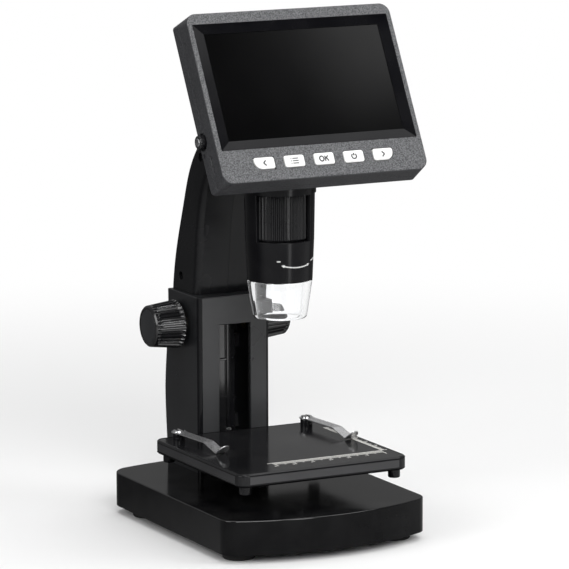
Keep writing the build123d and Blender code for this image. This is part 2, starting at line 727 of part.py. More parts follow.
with BuildPart() as stage_rack:
    with BuildSketch(side_plane(0)):
        with Locations((RACK_BACK, NECK_TOP)):
            Rectangle(RACK_THICK, RACK_TOP - NECK_TOP, align=(Align.MAX, Align.MIN))
        for tooth in range(-TEETH_DOWN, TEETH_UP + 1):
            middle = SHAFT_Z + tooth * RACK_PITCH
            with BuildLine():
                Polyline(
                    (RACK_BACK - RACK_THICK / 2, middle - TOOTH_FEET_Z),
                    (RACK_BACK, middle - TOOTH_FEET_Z),
                    (RACK_PITCH_Y + MODULE, middle - TOOTH_TIP_Z),
                    (RACK_PITCH_Y + MODULE, middle + TOOTH_TIP_Z),
                    (RACK_BACK, middle + TOOTH_FEET_Z),
                    (RACK_BACK - RACK_THICK / 2, middle + TOOTH_FEET_Z),
                    close=True,
                )
            make_face()
    extrude(amount=RACK_HALF, both=True)
    with BuildSketch(Plane.XY.offset(NECK_TOP)):
        with Locations((-FIN_X, FIN_FRONT), (FIN_X, FIN_FRONT)):
            Rectangle(FIN_WIDE, FIN_DEEP, align=(Align.CENTER, Align.MIN))
    extrude(amount=RACK_TOP - NECK_TOP)
    with BuildSketch(Plane.XZ.offset(-FIN_FRONT - 0.4)):
        for rung in range(RUNG_COUNT):
            with Locations((0, RUNG_LOW + rung * RUNG_STEP)):
                Rectangle(2 * RACK_HALF, RUNG_HIGH)
    extrude(amount=-FIN_DEEP + 0.4)
    with BuildSketch(Plane.XY.offset(NECK_TOP)):
        with Locations((0, FOOT_PLATE_FRONT)):
            Rectangle(
                2 * FOOT_PLATE_HALF,
                NECK_BACK - FOOT_PLATE_FRONT,
                align=(Align.CENTER, Align.MIN),
            )
        with Locations((0, RACK_SCREW_Y)):
            Circle(RACK_SCREW_R + SEAT, mode=Mode.SUBTRACT)
    extrude(amount=FOOT_PLATE_THICK)

stage_rack.part.label = "stage_rack"
export_step(stage_rack.part, "parts/stage_rack.step")

with BuildPart() as rack_screw:
    with BuildSketch(Plane.XY.offset(NECK_TOP + FOOT_PLATE_THICK)):
        with Locations((0, RACK_SCREW_Y)):
            Circle(RACK_HEAD_R)
    extrude(amount=RACK_HEAD)
    with BuildSketch(Plane.XY.offset(NECK_TOP + FOOT_PLATE_THICK)):
        with Locations((0, RACK_SCREW_Y)):
            Circle(RACK_SCREW_R)
    extrude(amount=-FOOT_PLATE_THICK - (NECK_TOP - NECK_BOTTOM) + 2.0)

rack_screw.part.label = "rack_screw"
export_step(rack_screw.part, "parts/rack_screw.step")

with BuildPart() as clip_posts:
    with BuildSketch(Plane.XY.offset(STAGE_TOP)):
        with Locations(*CLIP_POSTS):
            Circle(CLIP_POST_R)
            Circle(CLIP_SCREW_R + SEAT, mode=Mode.SUBTRACT)
    extrude(amount=CLIP_POST_TOP - STAGE_TOP)

clip_posts.part.label = "clip_posts"
export_step(clip_posts.part, "parts/clip_posts.step")

CLIP_UNDER = CLIP_POST_TOP + CLIP_LIFT
CLIP_OVER = CLIP_UNDER + CLIP_THICK
CLIP_SCREW_TOP = CLIP_OVER + CLIP_LIFT + CLIP_HEAD

with BuildPart() as clip_screws:
    with BuildSketch(Plane.XY.offset(CLIP_OVER + CLIP_LIFT)):
        with Locations(*CLIP_POSTS):
            Circle(CLIP_HEAD_R)
    extrude(amount=CLIP_HEAD)
    chamfer(faces().group_by(Axis.Z)[-1].edges(), CLIP_LIFT)
    with BuildSketch(Plane.XY.offset(CLIP_OVER + CLIP_LIFT)):
        with Locations(*CLIP_POSTS):
            Circle(CLIP_SCREW_R)
    extrude(amount=-(CLIP_OVER + CLIP_LIFT - STAGE_TOP) - POCKET_DEEP + 0.5)
    with BuildSketch(Plane.XY.offset(CLIP_SCREW_TOP)):
        with Locations(*CLIP_POSTS):
            Rectangle(2 * CLIP_HEAD_R, CLIP_THICK)
    extrude(amount=-CLIP_HEAD / 2, mode=Mode.SUBTRACT)

clip_screws.part.label = "clip_screws"
export_step(clip_screws.part, "parts/clip_screws.step")

# Each spring clip: an eye on its post, a flat strip, a bend down to the slide and a turned-up tip.
for name, post_x in (("clip_left", -CLIP_X), ("clip_right", CLIP_X)):
    turn = radians(CLIP_TURN)
    eye = Plane(origin=(post_x, CLIP_Y, 0), x_dir=(sin(turn), -cos(turn), 0), z_dir=(0, 0, 1))
    edge_on = Plane(
        origin=(post_x, CLIP_Y, 0),
        x_dir=(sin(turn), -cos(turn), 0),
        z_dir=(-cos(turn), -sin(turn), 0),
    )
    touch_z = STAGE_TOP + CLIP_LOW
    with BuildPart() as clip:
        with BuildSketch(edge_on):
            with BuildLine():
                lower = FilletPolyline(
                    (-CLIP_EYE_R, CLIP_UNDER),
                    (CLIP_BEND, CLIP_UNDER),
                    (CLIP_TOUCH, touch_z),
                    (CLIP_END, touch_z + CLIP_TIP_LIFT),
                    radius=1.5,
                )
                offset(lower, amount=CLIP_THICK, side=Side.LEFT, closed=True)
            make_face()
        extrude(amount=CLIP_EYE_R, both=True)
        with BuildSketch(eye):
            Circle(CLIP_EYE_R)
            Rectangle(CLIP_END - CLIP_WIDE / 2, CLIP_WIDE, align=(Align.MIN, Align.CENTER))
            with Locations((CLIP_END - CLIP_WIDE / 2, 0)):
                Circle(CLIP_WIDE / 2)
            Circle(CLIP_HOLE_R, mode=Mode.SUBTRACT)
        extrude(amount=SHAFT_Z, mode=Mode.INTERSECT)
    clip.part.label = name
    export_step(clip.part, f"parts/{name}.step")


# ================================================================ knobs, shaft and pinion
with BuildPart() as pinion_shaft:
    with BuildSketch(side_plane(0)):
        with Locations((SHAFT_Y, SHAFT_Z)):
            Circle(SHAFT_R)
    extrude(amount=SHAFT_HALF, both=True)
    chamfer(edges().filter_by(GeomType.CIRCLE), STAGE_EDGE)

pinion_shaft.part.label = "pinion_shaft"
export_step(pinion_shaft.part, "parts/pinion_shaft.step")

# A gap between two teeth faces the rack at rest.
PINION_ROOT_R = PITCH_R - DEDENDUM
PINION_TIP_R = PITCH_R + MODULE
TOOTH_TURN = 2 * pi / PINION_TEETH


def pinion_point(radius, turn):
    """Point of the pinion's outline, turned from straight ahead of the rack."""
    return SHAFT_Y - radius * cos(turn), SHAFT_Z + radius * sin(turn)


with BuildPart() as drive_pinion:
    with BuildSketch(side_plane(0)):
        with Locations((SHAFT_Y, SHAFT_Z)):
            Circle(PINION_ROOT_R)
        for tooth in range(PINION_TEETH):
            middle = (tooth + 0.5) * TOOTH_TURN
            half_pitch = TOOTH_HALF / PITCH_R
            half_tip = 0.45 * half_pitch
            half_foot = 1.25 * half_pitch
            with BuildLine():
                Polyline(
                    pinion_point(SHAFT_R, middle - half_foot),
                    pinion_point(PINION_ROOT_R, middle - half_foot),
                    pinion_point(PITCH_R, middle - half_pitch),
                    pinion_point(PINION_TIP_R, middle - half_tip),
                    pinion_point(PINION_TIP_R, middle + half_tip),
                    pinion_point(PITCH_R, middle + half_pitch),
                    pinion_point(PINION_ROOT_R, middle + half_foot),
                    pinion_point(SHAFT_R, middle + half_foot),
                    close=True,
                )
            make_face()
        with Locations((SHAFT_Y, SHAFT_Z)):
            Circle(SHAFT_R + SEAT, mode=Mode.SUBTRACT)
    extrude(amount=PINION_HALF, both=True)

drive_pinion.part.label = "drive_pinion"
export_step(drive_pinion.part, "parts/drive_pinion.step")


def fluted_outline(radius):
    """Knob section: flutes as a polygon that steps between a crest and a groove radius."""
    corners = []
    for flute in range(KNOB_FLUTES):
        for share, depth in ((0.0, 0), (0.45, 0), (0.6, FLUTE_DEEP), (0.85, FLUTE_DEEP)):
            turn = 2 * pi * (flute + share) / KNOB_FLUTES
            corners.append(
                (
                    SHAFT_Y + (radius - depth) * cos(turn),
                    SHAFT_Z + (radius - depth) * sin(turn),
                )
            )
    with BuildLine() as edge:
        Polyline(*corners, close=True)
    make_face(edge.edges())


# Tapered fluted knobs with a plain lip at each end and a recess for the cap.
for name, side in (("knob_left", -1), ("knob_right", 1)):
    knob_out = KNOB_IN + KNOB_LONG
    with BuildPart() as knob:
        with BuildSketch(side_plane(side * (KNOB_IN + KNOB_LIP))):
            fluted_outline(KNOB_BIG_R)
        with BuildSketch(side_plane(side * (knob_out - KNOB_LIP))):
            fluted_outline(KNOB_SMALL_R)
        loft(ruled=True)
        with BuildSketch(side_plane(side * KNOB_IN)):
            with Locations((SHAFT_Y, SHAFT_Z)):
                Circle(KNOB_BIG_R - FLUTE_DEEP)
        extrude(amount=side * KNOB_LIP)
        with BuildSketch(side_plane(side * (knob_out - KNOB_LIP))):
            with Locations((SHAFT_Y, SHAFT_Z)):
                Circle(KNOB_SMALL_R - FLUTE_DEEP / 2)
        extrude(amount=side * KNOB_LIP)
        chamfer(faces().sort_by(Axis.X)[-1 if side > 0 else 0].edges(), KNOB_LIP / 2)
        with BuildSketch(side_plane(side * (knob_out - CAP_DEEP))):
            with Locations((SHAFT_Y, SHAFT_Z)):
                Circle(CAP_R + SEAT)
        extrude(amount=side * CAP_DEEP, mode=Mode.SUBTRACT)
        with BuildSketch(side_plane(side * KNOB_IN)):
            with Locations((SHAFT_Y, SHAFT_Z)):
                Circle(SHAFT_R + SEAT)
        extrude(amount=side * (SHAFT_HALF - KNOB_IN + SEAT), mode=Mode.SUBTRACT)
    knob.part.label = name
    export_step(knob.part, f"parts/{name}.step")

with BuildPart() as knob_caps:
    for side in (-1, 1):
        with BuildSketch(side_plane(side * (KNOB_IN + KNOB_LONG - CAP_DEEP))):
            with Locations((SHAFT_Y, SHAFT_Z)):
                Circle(CAP_R)
        extrude(amount=side * CAP_DEEP)

knob_caps.part.label = "knob_caps"
export_step(knob_caps.part, "parts/knob_caps.step")

with BuildPart() as drag_washer:
    for side in (-1, 1):
        with BuildSketch(side_plane(side * KNOB_IN)):
            with Locations((SHAFT_Y, SHAFT_Z)):
                Circle(WASHER_R)
                Circle(SHAFT_R + RUN, mode=Mode.SUBTRACT)
        extrude(amount=-side * WASHER_THICK)

drag_washer.part.label = "drag_washer"
export_step(drag_washer.part, "parts/drag_washer.step")


# ================================================================ arm and head
def arm_outline():
    """Side view of the arm and head: a leaning C with a bulged back."""
    with BuildLine() as edge:
        front = Spline(ARM_FRONT)
        back = Spline(ARM_BACK)
        Line(front @ 0, back @ 0)
        Line(front @ 1, (HEAD_NECK_Y, HEAD_BOTTOM))
        Line((HEAD_NECK_Y, HEAD_BOTTOM), (HEAD_FRONT, HEAD_BOTTOM))
        Line((HEAD_FRONT, HEAD_BOTTOM), (HEAD_FRONT, HEAD_TOP))
        Line((HEAD_FRONT, HEAD_TOP), back @ 1)
    make_face(edge.edges())


def arm_cavity():
    """Side view of the hollow: the arm's outline drawn in by the wall."""
    with BuildLine() as edge:
        front = Spline([(y + ARM_WALL + ARM_KEEL, z) for y, z in ARM_FRONT[1:]])
        back = Spline([(y - 1.12 * ARM_WALL, z - 0.5 * ARM_WALL) for y, z in ARM_BACK[:-1]])
        floor = COL_TOP + ARM_WALL
        low_front = (ARM_FRONT[0][0] + ARM_WALL + ARM_KEEL, floor)
        low_back = (ARM_BACK[0][0] - 1.12 * ARM_WALL, floor)
        Line(front @ 0, low_front)
        Line(low_front, low_back)
        Line(low_back, back @ 0)
        ceiling = HEAD_BOTTOM + ARM_WALL
        inside_front = HEAD_FRONT + ARM_WALL + ARM_KEEL
        inside_top = HEAD_TOP - 1.6 * ARM_WALL
        Line(front @ 1, (HEAD_NECK_Y + ARM_WALL, ceiling))
        Line((HEAD_NECK_Y + ARM_WALL, ceiling), (inside_front, ceiling))
        Line((inside_front, ceiling), (inside_front, inside_top))
        Line((inside_front, inside_top), back @ 1)
    make_face(edge.edges())


ARM_INSIDE = ARM_HALF - ARM_WALL
SPIGOT_Z = COL_TOP - SPIGOT_DROP
COWL_BORE = COWL_SPIGOT_R + SEAT

# The arm is two mirrored shells that meet on the middle plane, with a shallow keel in front,
# a spigot that drops into the column's deck, and the head that holds barrel and hinge.
for name, side in (("arm_left_shell", -1), ("arm_right_shell", 1)):
    outward = (Align.MIN if side > 0 else Align.MAX, Align.CENTER)
    with BuildPart() as arm:
        with BuildSketch(side_plane(0)):
            arm_outline()
        extrude(amount=side * ARM_HALF)
        with BuildSketch(side_plane(0)):
            arm_outline()
        extrude(
            amount=hypot(ARM_HALF, ARM_KEEL),
            dir=(side * ARM_HALF, ARM_KEEL, 0),
            mode=Mode.INTERSECT,
        )
        outer = faces().filter_by(Plane.YZ).sort_by(Axis.X)[-1 if side > 0 else 0]
        fillet(outer.edges().sort_by(SortBy.LENGTH)[-3:-1], ARM_R)
        with BuildSketch(side_plane(0)):
            arm_cavity()
        extrude(amount=side * ARM_INSIDE, mode=Mode.SUBTRACT)
        with BuildSketch(Plane.XY.offset(SPIGOT_Z)):
            with Locations((0, SPIGOT_MID)):
                RectangleRounded(2 * SPIGOT_HALF, SPIGOT_DEEP, COL_R)
            Rectangle(ARM_HALF, 2 * FOOT_HALF, align=outward, mode=Mode.INTERSECT)
        extrude(amount=SPIGOT_DROP)
        with BuildSketch(Plane.XY.offset(SPIGOT_Z)):
            with Locations((0, SPIGOT_MID)):
                Rectangle(
                    2 * (SPIGOT_HALF - SPIGOT_WALL), SPIGOT_DEEP - 2 * SPIGOT_WALL
                )
        extrude(amount=SPIGOT_DROP + 2 * ARM_WALL, mode=Mode.SUBTRACT)
        with BuildSketch(Plane.XY.offset(HEAD_BOTTOM)):
            with Locations((0, BARREL_Y)):
                Circle(HEAD_BOSS_R)
            Rectangle(2 * ARM_HALF, 4 * ARM_HALF, align=outward, mode=Mode.INTERSECT)
        extrude(amount=HEAD_BOSS_TOP - HEAD_BOTTOM)
        with BuildSketch(Plane.XY.offset(HEAD_BOTTOM)):
            with Locations((0, BARREL_Y)):
                Circle(COWL_BORE)
        extrude(amount=COWL_SPIGOT_TOP - HEAD_BOTTOM, mode=Mode.SUBTRACT)
        with BuildSketch(Plane.XY.offset(COWL_SPIGOT_TOP)):
            with Locations((0, BARREL_Y)):
                Circle(HEAD_LIP_R)
        extrude(amount=HEAD_BOSS_TOP - COWL_SPIGOT_TOP, mode=Mode.SUBTRACT)
        with BuildSketch(side_plane(0)):
            with Locations((HINGE_Y, HINGE_Z)):
                Circle(HINGE_R)
            with Locations((HINGE_Y, HEAD_TOP)):
                Rectangle(
                    HEAD_FRONT - HINGE_Y + ARM_WALL,
                    HEAD_TOP - HEAD_BOSS_TOP,
                    align=(Align.MIN, Align.MAX),
                )
            with Locations((HINGE_Y, HINGE_Z)):
                Circle(PIN_R + SEAT, mode=Mode.SUBTRACT)
        extrude(amount=side * HINGE_HALF)
        for number, (y, z) in enumerate(ARM_SCREWS):
            with BuildSketch(side_plane(0)):
                with Locations((y, z)):
                    Circle(ARM_BOSS_R)
            extrude(amount=side * (ARM_INSIDE + ARM_WALL / 2))
            with BuildSketch(side_plane(0)):
                with Locations((y, z)):
                    Circle(ARM_SCREW_R + SEAT)
            extrude(amount=side * (ARM_INSIDE if side < 0 else ARM_INSIDE / 2), mode=Mode.SUBTRACT)
            if side < 0:
                with BuildSketch(side_plane(-ARM_HALF)):
                    with Locations((y, z)):
                        Circle(ARM_HEAD_R + SEAT)
                extrude(amount=ARM_RECESS, mode=Mode.SUBTRACT)
    arm.part.label = name
    export_step(arm.part, f"parts/{name}.step")

with BuildPart() as arm_screws:
    with BuildSketch(side_plane(-ARM_HALF + ARM_RECESS)):
        with Locations(*ARM_SCREWS):
            Circle(ARM_HEAD_R)
    extrude(amount=-ARM_HEAD)
    with BuildSketch(side_plane(-ARM_HALF + ARM_RECESS)):
        with Locations(*ARM_SCREWS):
            Circle(ARM_SCREW_R)
    extrude(amount=ARM_HALF - ARM_RECESS + ARM_INSIDE / 2 - 0.5)

arm_screws.part.label = "arm_screws"
export_step(arm_screws.part, "parts/arm_screws.step")

# ================================================================ optical barrel
# The clear nose: a thick tapered skirt with a neck that plugs into the cowl.
with BuildPart() as clear_nose:
    with BuildSketch(BARREL_PLANE):
        with BuildLine():
            Polyline(
                (NOSE_BOTTOM_R, NOSE_BOTTOM),
                (NOSE_TOP_R, NOSE_TOP),
                (NOSE_NECK_R, NOSE_TOP),
                (NOSE_NECK_R, NOSE_TOP + NOSE_NECK),
                (NOSE_NECK_R - NOSE_WALL / 2, NOSE_TOP + NOSE_NECK),
                (NOSE_BOTTOM_R - NOSE_WALL, NOSE_BOTTOM),
                close=True,
            )
        make_face()
        fillet(vertices().group_by(Axis.Y)[0], NOSE_ROUND)
    revolve(axis=BARREL_AXIS)

clear_nose.part.label = "clear_nose"
export_step(clear_nose.part, "parts/clear_nose.step")

BOARD_Z = NOSE_TOP + NOSE_NECK
LEDGE_Z = BOARD_Z + BOARD_THICK

with BuildPart() as led_board:
    with BuildSketch(Plane.XY.offset(BOARD_Z)):
        with Locations((0, BARREL_Y)):
            Circle(NOSE_NECK_R)
            Circle(LED_HOLE_R, mode=Mode.SUBTRACT)
    extrude(amount=BOARD_THICK)

led_board.part.label = "led_board"
export_step(led_board.part, "parts/led_board.step")

with BuildPart() as leds:
    with BuildSketch(Plane.XY.offset(BOARD_Z)):
        with Locations((0, BARREL_Y)):
            with PolarLocations(LED_RING_R, LED_COUNT):
                Circle(LED_R)
    extrude(amount=-NOSE_NECK)
    chamfer(faces().filter_by(Plane.XY).group_by(Axis.Z)[0].edges(), LED_R / 3)

leds.part.label = "leds"
export_step(leds.part, "parts/leds.step")

# The cowl: stepped black tube with two windows onto the focus ring and a spigot for the head.
with BuildPart() as barrel_cowl:
    with BuildSketch(BARREL_PLANE):
        with BuildLine():
            Polyline(
                (NOSE_NECK_R + SEAT, NOSE_TOP),
                (NOSE_TOP_R, NOSE_TOP),
                (COWL_STEP_R, COWL_STEP_Z),
                (COWL_TOP_R, COWL_TOP_Z),
                (COLLAR_R, COWL_TOP_Z),
                (COLLAR_R, HEAD_BOTTOM),
                (COWL_SPIGOT_R, HEAD_BOTTOM),
                (COWL_SPIGOT_R, COWL_SPIGOT_TOP),
                (RING_POCKET_R, COWL_SPIGOT_TOP),
                (RING_POCKET_R, COWL_STEP_Z),
                (NOSE_NECK_R + SEAT, COWL_STEP_Z),
                (NOSE_NECK_R + SEAT, LEDGE_Z + COWL_LEDGE),
                (COWL_LEDGE_R, LEDGE_Z + COWL_LEDGE),
                (COWL_LEDGE_R, LEDGE_Z),
                (NOSE_NECK_R + SEAT, LEDGE_Z),
                close=True,
            )
        make_face()
    revolve(axis=BARREL_AXIS)
    window_low = COWL_STEP_Z + RUN
    with BuildSketch(Plane.XY.offset(window_low)):
        for middle in (-90 - WINDOW_MID, 90 - WINDOW_MID):
            with BuildLine():
                low = radians(middle - WINDOW_HALF)
                high = radians(middle + WINDOW_HALF)
                reach = 2 * COLLAR_R
                Polyline(
                    (0, BARREL_Y),
                    (reach * cos(low), BARREL_Y + reach * sin(low)),
                    (reach * cos(radians(middle)), BARREL_Y + reach * sin(radians(middle))),
                    (reach * cos(high), BARREL_Y + reach * sin(high)),
                    close=True,
                )
            make_face()
    extrude(amount=COWL_TOP_Z - window_low, mode=Mode.SUBTRACT)

barrel_cowl.part.label = "barrel_cowl"
export_step(barrel_cowl.part, "parts/barrel_cowl.step")

RING_LOW = COWL_STEP_Z + GAP
RING_HIGH = COWL_TOP_Z - GAP

with BuildPart() as focus_ring:
    with BuildSketch(Plane.XY.offset(RING_LOW)):
        with Locations((0, BARREL_Y)):
            Circle(RING_R - RING_GROOVE)
            with PolarLocations(RING_R - RING_GROOVE, RING_RIBS):
                Rectangle(2 * RING_GROOVE, RING_R * pi / RING_RIBS)
            Circle(RING_BORE_R, mode=Mode.SUBTRACT)
    extrude(amount=RING_HIGH - RING_LOW)

focus_ring.part.label = "focus_ring"
export_step(focus_ring.part, "parts/focus_ring.step")

with BuildPart() as lens_carrier:
    with BuildSketch(BARREL_PLANE):
        with BuildLine():
            Polyline(
                (CARRIER_BORE_R - 2.0, CARRIER_Z[0]),
                (CARRIER_R - 1.0, CARRIER_Z[0]),
                (CARRIER_R, CARRIER_Z[0] + 1.0),
                (CARRIER_R, CARRIER_Z[1]),
                (CARRIER_BORE_R, CARRIER_Z[1]),
                (CARRIER_BORE_R, CARRIER_Z[0] + 1.5),
                (CARRIER_BORE_R - 2.0, CARRIER_Z[0] + 1.5),
                close=True,
            )
        make_face()
    revolve(axis=BARREL_AXIS)

lens_carrier.part.label = "lens_carrier"
export_step(lens_carrier.part, "parts/lens_carrier.step")

# Two lenses in the carrier, each a disc with one bulged face.
LENS_CURVE_R = (LENS_R**2 + LENS_BULGE**2) / (2 * LENS_BULGE)
with BuildPart() as objective_lenses:
    sag = LENS_CURVE_R - (LENS_CURVE_R**2 - (LENS_R / 2) ** 2) ** 0.5
    for seat_z in (CARRIER_Z[0] + 1.5, CARRIER_Z[1] - 6.0):
        with BuildSketch(BARREL_PLANE):
            with BuildLine():
                Line((0, seat_z), (LENS_R, seat_z))
                Line((LENS_R, seat_z), (LENS_R, seat_z + LENS_EDGE))
                ThreePointArc(
                    (LENS_R, seat_z + LENS_EDGE),
                    (LENS_R / 2, seat_z + LENS_EDGE + LENS_BULGE - sag),
                    (0, seat_z + LENS_EDGE + LENS_BULGE),
                )
                Line((0, seat_z + LENS_EDGE + LENS_BULGE), (0, seat_z))
            make_face()
        revolve(axis=BARREL_AXIS)

objective_lenses.part.label = "objective_lenses"
export_step(objective_lenses.part, "parts/objective_lenses.step")

with BuildPart() as barrel_sleeve:
    with BuildSketch(Plane.XY.offset(COWL_TOP_Z)):
        with Locations((0, BARREL_Y)):
            Circle(RING_POCKET_R - SEAT)
            Circle(SLEEVE_BORE_R, mode=Mode.SUBTRACT)
    extrude(amount=SLEEVE_TOP - COWL_TOP_Z)

barrel_sleeve.part.label = "barrel_sleeve"
export_step(barrel_sleeve.part, "parts/barrel_sleeve.step")

with BuildPart() as sensor_board:
    with BuildSketch(Plane.XY.offset(SLEEVE_TOP)):
        with Locations((0, BARREL_Y)):
            Circle(RING_POCKET_R - 4 * SEAT)
    extrude(amount=BOARD_THICK)
    with BuildSketch(Plane.XY.offset(SLEEVE_TOP)):
        with Locations((0, BARREL_Y)):
            Rectangle(2 * SENSOR_HALF, 2 * SENSOR_HALF)
    extrude(amount=-BOARD_THICK)

sensor_board.part.label = "sensor_board"
export_step(sensor_board.part, "parts/sensor_board.step")


# ================================================================ monitor
def body_outline(inset, corner):
    """The monitor's front view, drawn in by inset, with rounded corners."""
    with Locations((0, (BODY_LOW + BODY_HIGH) / 2)):
        RectangleRounded(
            2 * (BODY_HALF - inset), BODY_HIGH - BODY_LOW - 2 * inset, corner - inset
        )


def key_outline(number, grow):
    """Key face: the outermost keys have one large round lower corner."""
    x = (number - 2) * KEY_STEP
    with Locations((x, KEY_U)):
        cap = Rectangle(KEY_WIDE + 2 * grow, KEY_HIGH + 2 * grow)
    low = cap.vertices().group_by(Axis.Y)[0].sort_by(Axis.X)
    big = {0: [low[0]], 4: [low[-1]]}.get(number, [])
    small = [corner for corner in cap.vertices() if corner not in big]
    if big:
        fillet(big, KEY_BIG_R + grow)
    fillet(small, KEY_R + grow)
    return cap


MONITOR_FLOOR = BODY_REAR + BODY_WALL
CASE_SCREWS = [(-CASE_SCREW_X, CASE_SCREW_U), (CASE_SCREW_X, CASE_SCREW_U)]
KEY_POSTS = [(-1.5 * KEY_STEP, KEY_U), (1.5 * KEY_STEP, KEY_U)]
BOARD_POSTS = [(x, u) for x in (-BOARD_POST_X, BOARD_POST_X) for u in BOARD_POST_U]
FACE_BACK = BODY_FRONT - BODY_WALL

# The front half of the monitor's case: window, key openings, screw posts and side ports.
with BuildPart() as bezel_front:
    with BuildSketch(screen_plane(BODY_SEAM)):
        body_outline(0, BODY_SEAM_R)
    with BuildSketch(screen_plane(BODY_FRONT)):
        body_outline(0, BODY_R)
    loft()
    fillet(faces().sort_by(Axis((0, 0, 0), screen_plane(0).z_dir))[-1].edges(), BODY_EDGE)
    with BuildSketch(screen_plane(BODY_SEAM)):
        body_outline(BODY_WALL, BODY_SEAM_R)
    extrude(amount=FACE_BACK - BODY_SEAM, mode=Mode.SUBTRACT)
    with BuildSketch(screen_plane(FACE_BACK)):
        with Locations(*CASE_SCREWS):
            Circle(CASE_POST_R)
    extrude(amount=BODY_SEAM - FACE_BACK)
    with BuildSketch(screen_plane(FACE_BACK)):
        with Locations(*KEY_POSTS):
            Circle(KEY_POST_R)
    extrude(amount=KEY_BOARD_TOP - FACE_BACK)
    with BuildSketch(screen_plane(BODY_SEAM)):
        with Locations(*CASE_SCREWS):
            Circle(SMALL_SCREW_R + SEAT)
    extrude(amount=FACE_BACK - BODY_SEAM - BODY_WALL, mode=Mode.SUBTRACT)
    with BuildSketch(screen_plane(FACE_BACK)):
        Rectangle(WINDOW_WIDE, WINDOW_HIGH)
    extrude(amount=BODY_WALL, mode=Mode.SUBTRACT)
    for number in range(len(KEYS)):
        with BuildSketch(screen_plane(FACE_BACK)):
            key_outline(number, GAP)
        extrude(amount=BODY_WALL, mode=Mode.SUBTRACT)
    with BuildSketch(screen_side_plane(-BODY_HALF)):
        with Locations(((SLOT_U[0] + SLOT_U[1]) / 2, SLOT_N)):
            Rectangle(SLOT_U[1] - SLOT_U[0], SLOT_WIDE)
    extrude(amount=BODY_WALL, mode=Mode.SUBTRACT)
    with BuildSketch(screen_side_plane(BODY_HALF)):
        with Locations((USB_U, SLOT_N)):
            Rectangle(USB_WIDE, USB_HIGH)
    extrude(amount=-BODY_WALL, mode=Mode.SUBTRACT)
    with BuildSketch(screen_side_plane(-BODY_HALF)):
        with Locations((DIAL_U, DIAL_N)):
            Circle(DIAL_RECESS_R)
    extrude(amount=DIAL_RECESS, mode=Mode.SUBTRACT)

bezel_front.part.label = "bezel_front"
export_step(bezel_front.part, "parts/bezel_front.step")

# The glossy frame round the glass: sloping faces outside, a pocket for the panel behind.
with BuildPart() as lcd_frame:
    frame_top = BODY_FRONT - FRAME_LIP
    with BuildSketch(screen_plane(FACE_BACK)):
        Rectangle(WINDOW_WIDE - 2 * SEAT, WINDOW_HIGH - 2 * SEAT)
    extrude(amount=frame_top - FACE_BACK)
    with BuildSketch(screen_plane(FACE_BACK)):
        Rectangle(
            2 * (BODY_HALF - BODY_WALL - FRAME_CLEAR), WINDOW_HIGH + 2 * FRAME_FLANGE
        )
    extrude(amount=-BOARD_THICK)
    with BuildSketch(screen_plane(0)):
        Rectangle(LCD_WIDE, LCD_HIGH)
    with BuildSketch(screen_plane(frame_top)):
        Rectangle(WINDOW_WIDE - 4 * FRAME_LIP, WINDOW_HIGH - 4 * FRAME_LIP)
    loft(ruled=True, mode=Mode.SUBTRACT)
    with BuildSketch(screen_plane(FRAME_SEAT)):
        Rectangle(LCD_WIDE, LCD_HIGH)
    extrude(amount=-FRAME_SEAT, mode=Mode.SUBTRACT)
    with BuildSketch(screen_plane(FRAME_SEAT)):
        Rectangle(LCD_WIDE + 2 * PANEL_OVER, LCD_HIGH + 2 * PANEL_OVER)
    extrude(amount=-PANEL_THICK, mode=Mode.SUBTRACT)

lcd_frame.part.label = "lcd_frame"
export_step(lcd_frame.part, "parts/lcd_frame.step")

with BuildPart() as lcd_panel:
    with BuildSketch(screen_plane(FRAME_SEAT)):
        Rectangle(
            LCD_WIDE + 2 * PANEL_OVER - 2 * SEAT, LCD_HIGH + 2 * PANEL_OVER - 2 * SEAT
        )
    extrude(amount=-PANEL_THICK)

lcd_panel.part.label = "lcd_panel"
export_step(lcd_panel.part, "parts/lcd_panel.step")

